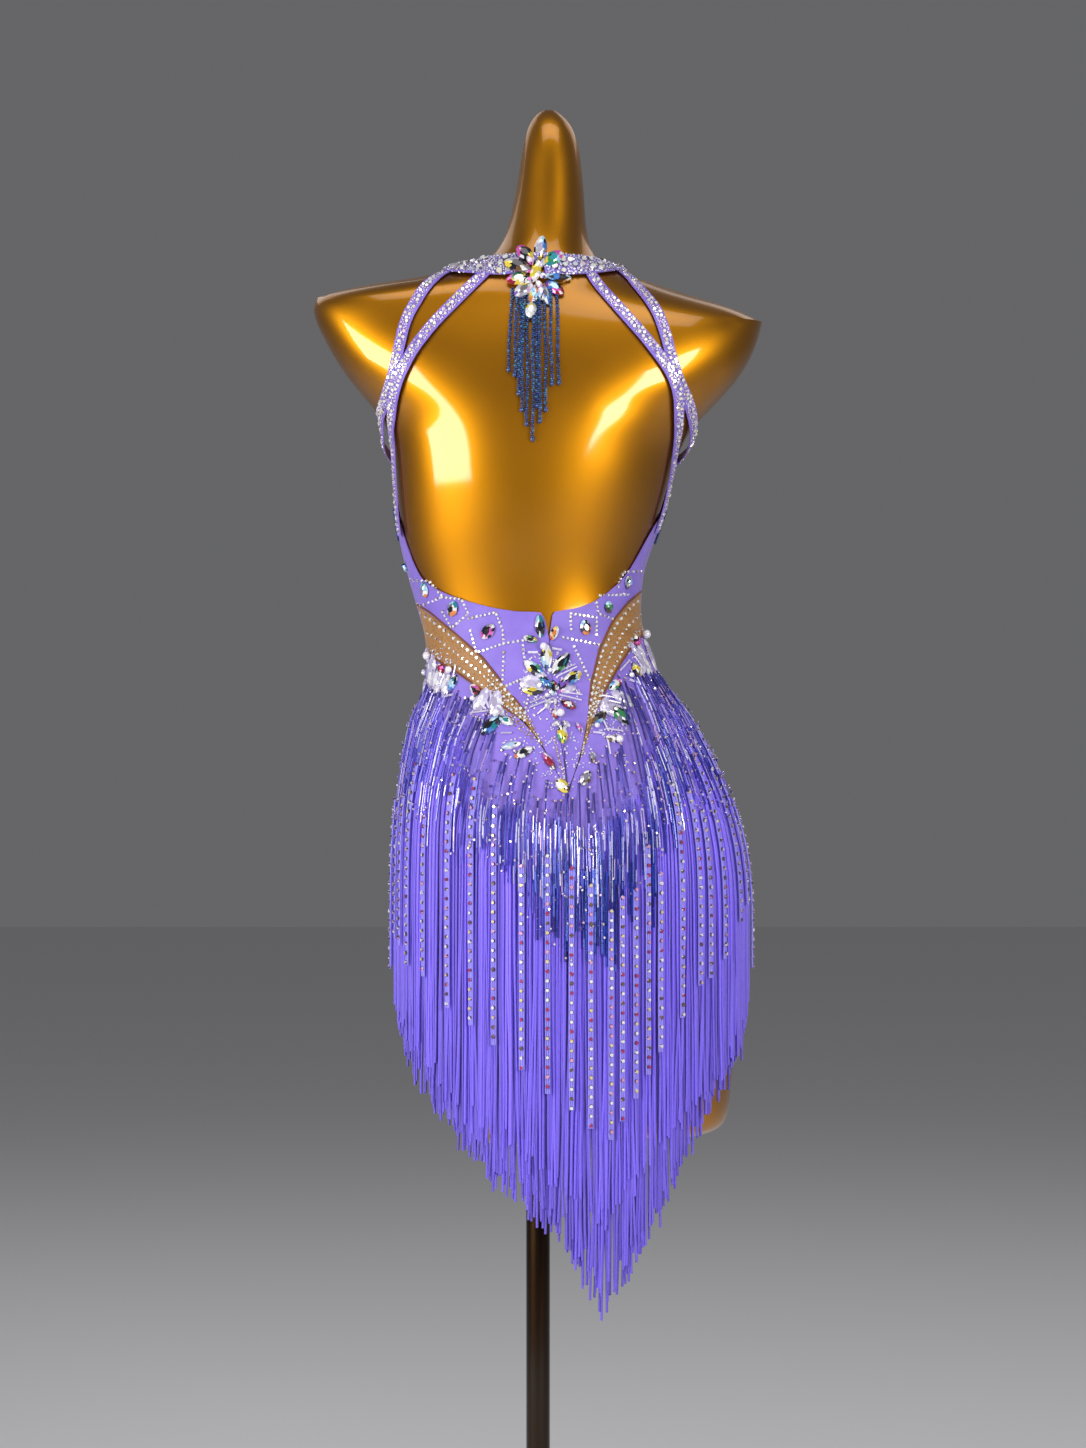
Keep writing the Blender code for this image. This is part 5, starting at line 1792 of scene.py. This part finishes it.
@dataclass
class Fringe:
    """The layers of cords, the beaded strings over them and the strips of stones."""

    surface: HangingSurface
    rng: np.random.Generator
    tubes: Scatter = field(default_factory=lambda: Scatter(Seed.bugle()))
    knots: Scatter = field(default_factory=lambda: Scatter(Seed.round_stone(7)))
    threads: Cords = field(default_factory=lambda: Cords(4))
    cord_radius: float = 1.22 * MM
    cord_pitch: float = 2.75 * MM
    cord_colour: Colour = (0.25, 0.155, 0.95)
    knee: float = 0.80
    middle_turn: float = 5.0
    # The seventh number of each tier is its light: the three layers under the outer one are painted darker,
    # a painted shade.
    tiers: tuple[Tier, ...] = (
        Tier("fringe_under_cords", UNDER_HEM, 0.0, 2.0, 22.0, 5.0, 0.76,
             ("fringe_under_left", "fringe_under_right")),
        Tier("fringe_inner_cords", UNDER_HEM, 7.0, 3.2, 26.0, 9.0, 0.82),
        Tier("fringe_middle_cords", UNDER_HEM, 14.0, 4.7, 30.0, 7.0, 0.84),
        Tier("fringe_over_cords", OVER_HEM, 0.0, 6.2, 38.0, 6.0, 1.0,
             ("fringe_over_left", "fringe_over_right")),
    )

    def build(self) -> list[bpy.types.Object]:
        """Build every part of the fringe."""
        layers = [self.cords(tier) for tier in self.tiers]
        self.sewn_strings()
        self.close_strings()
        self.loose_knots(120, (-52, 56), START, 2, BEADS_TOP, -24, 0, 3.0)
        self.loose_knots(330, (-110, 114), BEADS_TOP, 0, BEADS_END, 0, 20, 11.8)
        self.navy_strings()
        return [
            *layers,
            self.tubes.build("fringe_bugles", Finish.BUGLE),
            self.knots.build("fringe_knots", Finish.STONE),
            self.threads.build("fringe_threads", Finish.THREAD),
            *self.strips(),
        ]

    def cords(self, tier: Tier) -> bpy.types.Object:
        """Build one layer of cords.

        Args:
            tier: The layer.

        Returns:
            The new piece.
        """
        cords = Cords()
        phases = self.rng.uniform(0, 2 * math.pi, 6)
        for turn in self.surface.even_turns(self.cord_pitch):
            turn += self.rng.normal(0, 0.3)
            sewn = min(curve(START, turn), curve(BEADS_TOP, turn) + 14)
            top = (sewn - tier.hidden - self.rng.uniform(0, 12)) * MM
            ragged = self.rng.normal(0, tier.uneven) + 4.0 * math.sin(turn * 1.1 + phases[0])
            low = (curve(tier.hem, turn) + tier.drop + ragged) * MM
            clump = 0.9 * math.sin(turn * 0.55 + phases[1]) + 0.6 * math.sin(turn * 1.27 + phases[2])
            drift = clump + self.rng.normal(0, 1.1)
            sway, phase = self.rng.uniform(0.05, 0.30), self.rng.uniform(0, 2 * math.pi)
            lift = (tier.out + self.rng.uniform(-0.6, 0.6)) * MM
            path = []
            for height in (*np.linspace(top, self.knee, 8), *np.linspace(self.knee - 0.02, low, 11)):
                share = (top - height) / (top - low)
                wave = sway * math.sin(height * 34 + phase) * share
                rise = min(1.0, 0.2 + (top - height) / 0.05)
                path.append(self.surface.point(turn + drift * share**2 + wave, height, lift * rise)[:])
            shade = 0.95 + 0.10 * math.sin(turn * 0.9 + phases[3]) + self.rng.normal(0, 0.11)
            # Each cord is painted darker towards its lower end, its blue less than its red and green:
            # painted shade on the lower fringe.
            fade = np.linspace(1.04, 0.80, len(path) - 1)[:, None] ** (1.0, 1.0, 0.5)
            # The tier's light darkens the under layers: painted shade.
            tint = np.array(self.cord_colour) * shade * tier.light
            cords.add(np.array(path), self.cord_radius, tint * fade)
        return cords.build(tier.name, Finish.CORD, *tier.replaced)

    def place(self, turn: float, height: float, top: float, out: float) -> Vector:
        """A string's point at a height in millimetres: on the cloth at its top, and off it lower down."""
        return self.surface.point(turn, height * MM, out * min(1.0, 0.12 + (top - height) / 45) * MM)

    def string(self, beads: BeadSet, turn: float, span: tuple[float, float, float], out: float) -> None:
        """Thread tube beads down one string.

        Args:
            beads: The set that they are from.
            turn: Where the string hangs.
            span: Where the string is sewn on, where its tubes start and where they end, in millimetres.
            out: How far off the cloth it hangs, in millimetres.
        """
        top, height, end = span
        own = draw(self.rng, beads.shares)[0]
        drift = self.rng.normal(0, 0.5)
        away = Vector((*self.surface.direction(turn), 0.0))
        while height > end:
            length = min(self.rng.choice(beads.lengths), height - end + 4)
            head, foot = (
                self.place(turn + drift * (top - h) / 100, h, top, out) for h in (height, height - length)
            )
            colour = own if self.rng.random() < 0.65 else draw(self.rng, beads.shares)[0]
            along = (foot - head).normalized()
            outward = (away - along * away.dot(along)).normalized()
            size = (beads.width * MM, length * MM, beads.width * MM)
            tint = colour * self.rng.uniform(0.8, 1.15)
            self.tubes.add(Seat((head + foot) / 2, outward), along, size, tint)
            height -= length + 0.7

    def knot(self, turn: float, height: float, top: float, out: float) -> None:
        """Sew one small stone on a string.

        Args:
            turn: Where the string hangs.
            height: How high the stone is, in millimetres.
            top: Where the string is sewn on, in millimetres.
            out: How far off the cloth it hangs, in millimetres.
        """
        away = Vector((*self.surface.direction(turn), 0.1)) + Vector(self.rng.normal(0, 0.28, 3))
        width = self.rng.uniform(2.6, 3.4) * MM
        seat = Seat(self.place(turn, height, top, out), away.normalized())
        self.knots.add(seat, UP, (width,) * 3, Sparkle.DOT.facets(self.rng, self.knots.seed))

    def sewn_strings(self) -> None:
        """The strings that start from a small stone each, with thread down to where their beads begin."""
        rng = self.rng
        for turn in self.surface.even_turns(5.6 * MM):
            turn += rng.normal(0, 0.6)
            centre = max(0.0, math.cos(math.radians(turn * 1.7 - 8))) if abs(turn) < 60 else 0.0
            top = curve(START, turn) - rng.uniform(-4, 8 + 26 * centre)
            close = min(top - 8, curve(BEADS_TOP, turn) + rng.uniform(-14, 8))
            if rng.random() < 0.45:
                close = top - rng.uniform(4, 20)
            end = max(curve(BEADS_END, turn) + rng.uniform(-4, 46), close - rng.uniform(70, 150))
            self.knot(turn, top, top, 8.6)
            for height in rng.uniform(close - 30, top - 8, rng.integers(0, 2 + int(2.5 * centre))):
                self.knot(turn, height, top, 9.6)
            path = [self.place(turn, h, top, 8.6)[:] for h in np.linspace(top, close, 6)]
            dark = np.array((0.050, 0.045, 0.31)) * rng.uniform(0.5, 1.4)
            self.threads.add(np.array(path), 0.85 * MM, dark)
            self.string(SEWN_BEADS, turn, (top, close, end), 8.6)

    def close_strings(self) -> None:
        """The close strings of beads: a silver band across the back, and sparser pale ones at the hips."""
        rng = self.rng
        for turn in self.surface.even_turns(2.7 * MM):
            turn += rng.normal(0, 0.3)
            central = abs(turn - self.middle_turn) < 30 + rng.uniform(0, 12)
            if not central and rng.random() < 0.58:
                continue
            line = curve(BEADS_TOP, turn)
            top = line + (0 if central else 10) - rng.uniform(0, 24 if central else 56)
            middle = math.exp(-(((turn - self.middle_turn) / 20) ** 2))
            end = max(curve(BEADS_END, turn) + rng.normal(24 if central else 8, 10),
                      top - rng.uniform(34 + 8 * middle, 88 - 16 * middle))
            self.string(SILVER_BEADS if central else PALE_BEADS, turn, (line + 16, top, end),
                        9.4 + middle + rng.uniform(-0.4, 0.4))

    def loose_knots(
        self, count: int, turns: Row, upper: Sequence[Row], above: float, lower: Sequence[Row], below: float,
        rise: float, out: float,
    ) -> None:
        """Small stones scattered between two lines of the fringe.

        Args:
            count: How many there are.
            turns: The turns that they lie between.
            upper: The upper line.
            above: How far above that line they reach, in millimetres.
            lower: The lower line.
            below: How far from that line they reach, in millimetres.
            rise: How far above their highest place their strings are sewn on, in millimetres.
            out: How far off the cloth they hang, in millimetres.
        """
        for turn in self.rng.uniform(*turns, count):
            low, high = curve(lower, turn) + below, curve(upper, turn) + above
            self.knot(turn, self.rng.uniform(low, high), high + rise, out)

    def navy_strings(self) -> None:
        """The dark strings of beads that run down to a point at the middle."""
        rng = self.rng
        for turn in self.surface.even_turns(2.3 * MM):
            if rng.random() < math.exp(-(((turn - self.middle_turn) / 17) ** 2)):
                top = curve(BEADS_TOP, turn) - rng.uniform(30, 76)
                end = curve(BEADS_END, turn) + rng.normal(14, 15)
                self.string(NAVY_BEADS, turn, (top + 40, top, end), 9.8 + rng.uniform(-0.7, 0.7))

    def strips(self) -> list[bpy.types.Object]:
        """The strips of stones on narrow ribbons that hang over the cords."""
        stones, tapes = Scatter(Seed.round_stone(8, 0.38)), Cords()
        front = [
            (turn - 360 if turn > 180 else turn, 900, 742 + 14 * math.cos(math.radians(turn) * 6))
            for turn in range(84, 280, 9)
        ]
        for turn, top, end in (*STRIPS, *front):
            away = Vector((*self.surface.direction(turn), 0.0))
            for height in np.arange(top, end, -9.4):
                spot = self.surface.point(turn, height * MM, 11.6 * MM)
                width = self.rng.uniform(4.0, 4.8) * MM
                stones.add(Seat(spot, away), UP, (width,) * 3, Sparkle.STRIP.facets(self.rng, stones.seed))
            heights = np.linspace(top, end, 12) * MM
            for shift in (-0.52, 0.0, 0.52):
                path = [self.surface.point(turn + shift, height, 10.6 * MM)[:] for height in heights]
                lavender = np.array((0.30, 0.25, 0.86)) * self.rng.uniform(0.85, 1.15)
                tapes.add(np.array(path), 0.95 * MM, lavender)
        return [stones.build("strip_stones", Finish.STONE), tapes.build("strip_tapes", Finish.CORD)]


# --- the studio --------------------------------------------------------------------------------------


class Softbox(NamedTuple):
    """A soft oblong light and what it points at."""

    name: str
    place: tuple[float, float, float]
    aim: tuple[float, float, float]
    size: tuple[float, float]
    power: float


@dataclass
class Studio:
    """A pale floor, soft lights and the camera."""

    eye: tuple[float, float, float] = (0.005, -4.0, 0.976)
    seen_height: float = 1.448
    seen_plane: float = -0.05
    sensor: float = 36.0
    floor_colour: Colour = (0.84, 0.84, 0.85)
    world_colour: Colour = (0.60, 0.60, 0.62)
    world_strength: float = 0.22
    boxes: tuple[Softbox, ...] = (
        Softbox("left", (-2.16, -1.68, 1.25), (-0.1, -0.09, 1.30), (1.70, 0.90), 58.0),
        Softbox("right", (1.59, -2.22, 1.44), (0.1, -0.09, 1.30), (1.00, 0.92), 40.0),
        Softbox("camera_side", (0.0, -1.9, 4.4), (0.0, 0.0, 1.2), (4.4, 1.8), 50.0),
        Softbox("front_left", (-1.8, 2.4, 3.3), (0.0, 0.0, 1.0), (2.4, 1.8), 10.0),
        Softbox("front_right", (1.8, 2.4, 3.3), (0.0, 0.0, 1.0), (2.4, 1.8), 10.0),
    )

    def build(self) -> None:
        """Set up the floor, the lights and the camera."""
        self.floor()
        self.world()
        for box in self.boxes:
            self.light(box)
        self.camera()

    def floor(self) -> None:
        """The pale floor."""
        deselect()
        bpy.ops.mesh.primitive_plane_add(size=30.0)
        piece = bpy.context.object
        piece.name = "studio_floor"
        recipe = Recipe("studio_floor", Base_Color=opaque(self.floor_colour), Roughness=0.8)
        piece.data.materials.append(recipe.material)

    def world(self) -> None:
        """A plain pale surround."""
        world = bpy.data.worlds.new("studio")
        world.use_nodes = True
        surround = world.node_tree.nodes["Background"].inputs
        surround["Color"].default_value = opaque(self.world_colour)
        surround["Strength"].default_value = self.world_strength
        bpy.context.scene.world = world

    def light(self, box: Softbox) -> None:
        """Put up one soft light.

        Args:
            box: The light.
        """
        lamp = bpy.data.lights.new(f"softbox_{box.name}", "AREA")
        lamp.shape = "RECTANGLE"
        lamp.size, lamp.size_y = box.size
        lamp.energy = box.power
        holder = bpy.data.objects.new(lamp.name, lamp)
        holder.location = box.place
        holder.rotation_euler = (Vector(box.aim) - Vector(box.place)).to_track_quat("-Z", "Y").to_euler()
        bpy.context.scene.collection.objects.link(holder)

    def camera(self) -> None:
        """The camera, level and square to the back."""
        data = bpy.data.cameras.new("camera")
        data.sensor_fit = "VERTICAL"
        data.sensor_height = self.sensor
        data.lens = self.sensor * (self.seen_plane - self.eye[1]) / self.seen_height
        holder = bpy.data.objects.new("camera", data)
        holder.location = self.eye
        holder.rotation_euler = (math.pi / 2, 0, 0)
        bpy.context.scene.collection.objects.link(holder)
        bpy.context.scene.camera = holder


# --- the whole ---------------------------------------------------------------------------------------


# The panels of cloth, with the sizes that they were cut to.
PANELS = (
    Panel("front_bodice", "bodice_cloth", (0.42, 0.50), 0.130),
    Panel("back_waist_left", "waist_cloth_left", (0.12, 0.26), 0.0120, folds=BACK_FOLDS),
    Panel("back_waist_right", "waist_cloth_right", (0.10, 0.26), 0.0101, folds=BACK_FOLDS),
    Panel("mesh_insert_left", "net_left", (0.055, 0.17), 0.0050, finish=Finish.NET, tip=TIPS[0]),
    Panel("mesh_insert_right", "net_right", (0.045, 0.15), 0.0044, finish=Finish.NET, tip=TIPS[1]),
    Panel("skirt_back_left", "skirt_cloth_left", (0.22, 0.31), 0.057, "hung"),
    Panel("skirt_back_right", "skirt_cloth_right", (0.23, 0.33), 0.059, "hung"),
    Panel("skirt_front", "skirt_cloth_front", (0.42, 0.315), 0.098, "hung"),
    Panel("collar_band", "collar_cloth", (0.034, 0.50), 0.0115),
    Panel("shoulder_strap_left", "shoulder_strap_cloth_left", (0.0115, 0.31), 0.00356),
    Panel("shoulder_strap_right", "shoulder_strap_cloth_right", (0.0115, 0.325), 0.00373),
    Panel("back_strap_left", "back_strap_cloth_left", (0.0115, 0.32), 0.00368),
    Panel("back_strap_right", "back_strap_cloth_right", (0.0115, 0.325), 0.00373),
)


@dataclass
class Dress:
    """The dress and all that is sewn on it."""

    form: bpy.types.Object
    rng: np.random.Generator = field(default_factory=lambda: np.random.default_rng(11))
    pieces: dict[str, bpy.types.Object] = field(default_factory=dict)

    def build(self) -> None:
        self.pieces = {panel.node: panel.build() for panel in PANELS}
        cloth = Skin(self.pieces.values())
        whole = Skin([self.form, *self.pieces.values()])
        stones = StoneWork(whole, self.rng).build()
        collar, straps = self.collar_stones(), self.strap_stones()
        armholes = self.armhole_stones()
        brooch = Brooch(whole, self.rng).build()
        bust = self.bust_tassels(whole)
        fringe = Fringe(HangingSurface(cloth), self.rng).build()
        trims = {
            "back_waist_left": [stones[group] for group in ("chains", "gems", "petals", "grounds")],
            "mesh_insert_left": [stones[group] for group in ("rows", "bindings", "tips")],
            "skirt_back_left": [*(stones[group] for group in ("fans", "pearls", "seams")), *fringe],
            "collar_band": [collar, *brooch],
            "front_bodice": [bust, armholes],
            "shoulder_strap_left": [straps],
        }
        for panel in PANELS:
            panel.declare(self.pieces[panel.node], trims.get(panel.node, ()))

    def collar_stones(self) -> bpy.types.Object:
        """The stones packed on the collar."""
        stones = Scatter(Seed.round_stone(7, 0.40))
        crust = Crust(self.rng, (6.0 * MM, 8.0 * MM), (2.6 * MM, 3.4 * MM), 16000, 0.5 * MM)
        crust.cover(self.pieces["collar_band"], stones)
        return stones.build("collar_stones", Finish.STONE)

    def strap_stones(self) -> bpy.types.Object:
        """The stones packed on the straps: cream ones on a lilac ground."""
        stones = Scatter(Seed.round_stone(7, 0.40))
        crust = Crust(self.rng, (3.8 * MM, 4.6 * MM), (2.0 * MM, 2.6 * MM), 8000, 1.5 * MM, 0.06,
                      Sparkle.CREAM, Sparkle.LILAC)
        for node in ("shoulder_strap_left", "shoulder_strap_right", "back_strap_left", "back_strap_right"):
            crust.cover(self.pieces[node], stones)
        return stones.build("strap_stones", Finish.STONE)

    def armhole_stones(self) -> bpy.types.Object:
        """Three rows of stones down each armhole edge of the bodice."""
        stones = Scatter(Seed.round_stone(7))
        bodice = self.pieces["front_bodice"]
        skin = Skin([bodice])
        edge = sorted((start.z, start) for start, _ in sharp_edges(bodice) if 1.19 < start.z < 1.40)
        last = {-1: Vector((9, 9, 9)), 1: Vector((9, 9, 9))}
        for _, point in edge:
            side = 1 if point.x > 0 else -1
            if (point - last[side]).length < 3.2 * MM:
                continue
            last[side] = point
            for row in range(3):
                spot = point - Vector((side * (2.2 + 3.0 * row) * MM, 0, 1.0 * MM))
                start = Vector((spot.x * 1.35, Skin.REACH, spot.z))
                seat = skin.probe(start, Vector((-spot.x * 0.35, spot.y - Skin.REACH, 0)).normalized())
                if seat:
                    width = self.rng.uniform(2.3, 3.2) * MM
                    stones.add(seat, Vector(self.rng.normal(size=3)), (width,) * 3,
                               Sparkle.PALE.facets(self.rng, stones.seed))
        return stones.build("armhole_stones", Finish.STONE)

    def bust_tassels(self, skin: Skin) -> bpy.types.Object:
        """The short strings of navy beads at the sides of the bust.

        Args:
            skin: The outside of the form and the cloth.

        Returns:
            The new piece.
        """
        beads = Scatter(Seed.bead())
        nodes = ("bust_tassel_left", "bust_tassel_right")
        for node in nodes:
            low, high = (Vector(corner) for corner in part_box(node))
            side = 1 if low.x > 0 else -1
            for k in range(5):
                forward = low.y + (high.y - low.y) * (k + 0.5) / 5
                bottom = low.z + self.rng.uniform(0, 9) * MM
                for height in np.arange(bottom, high.z, 2.0 * MM):
                    seat = skin.probe(Vector((side * 0.5, forward, height)), Vector((-side, 0, 0)))
                    if seat:
                        navy = np.array((0.010, 0.045, 0.17)) * self.rng.uniform(0.45, 1.8)
                        beads.add(seat.lifted(1.6 * MM), UP, (2.3 * MM, 2.0 * MM, 2.3 * MM), navy)
        return beads.build("bust_beads", Finish.BEAD, *nodes, smooth=True)


def main() -> None:
    """Build the form, its stand, the dress and the studio."""
    logging.basicConfig(level=logging.INFO, format="%(name)s: %(message)s")
    form = DressForm().build()
    Stand().build()
    Dress(form).build()
    Studio().build()
    bpy.context.scene.view_settings.view_transform = "Standard"


if __name__ == "__main__":
    main()
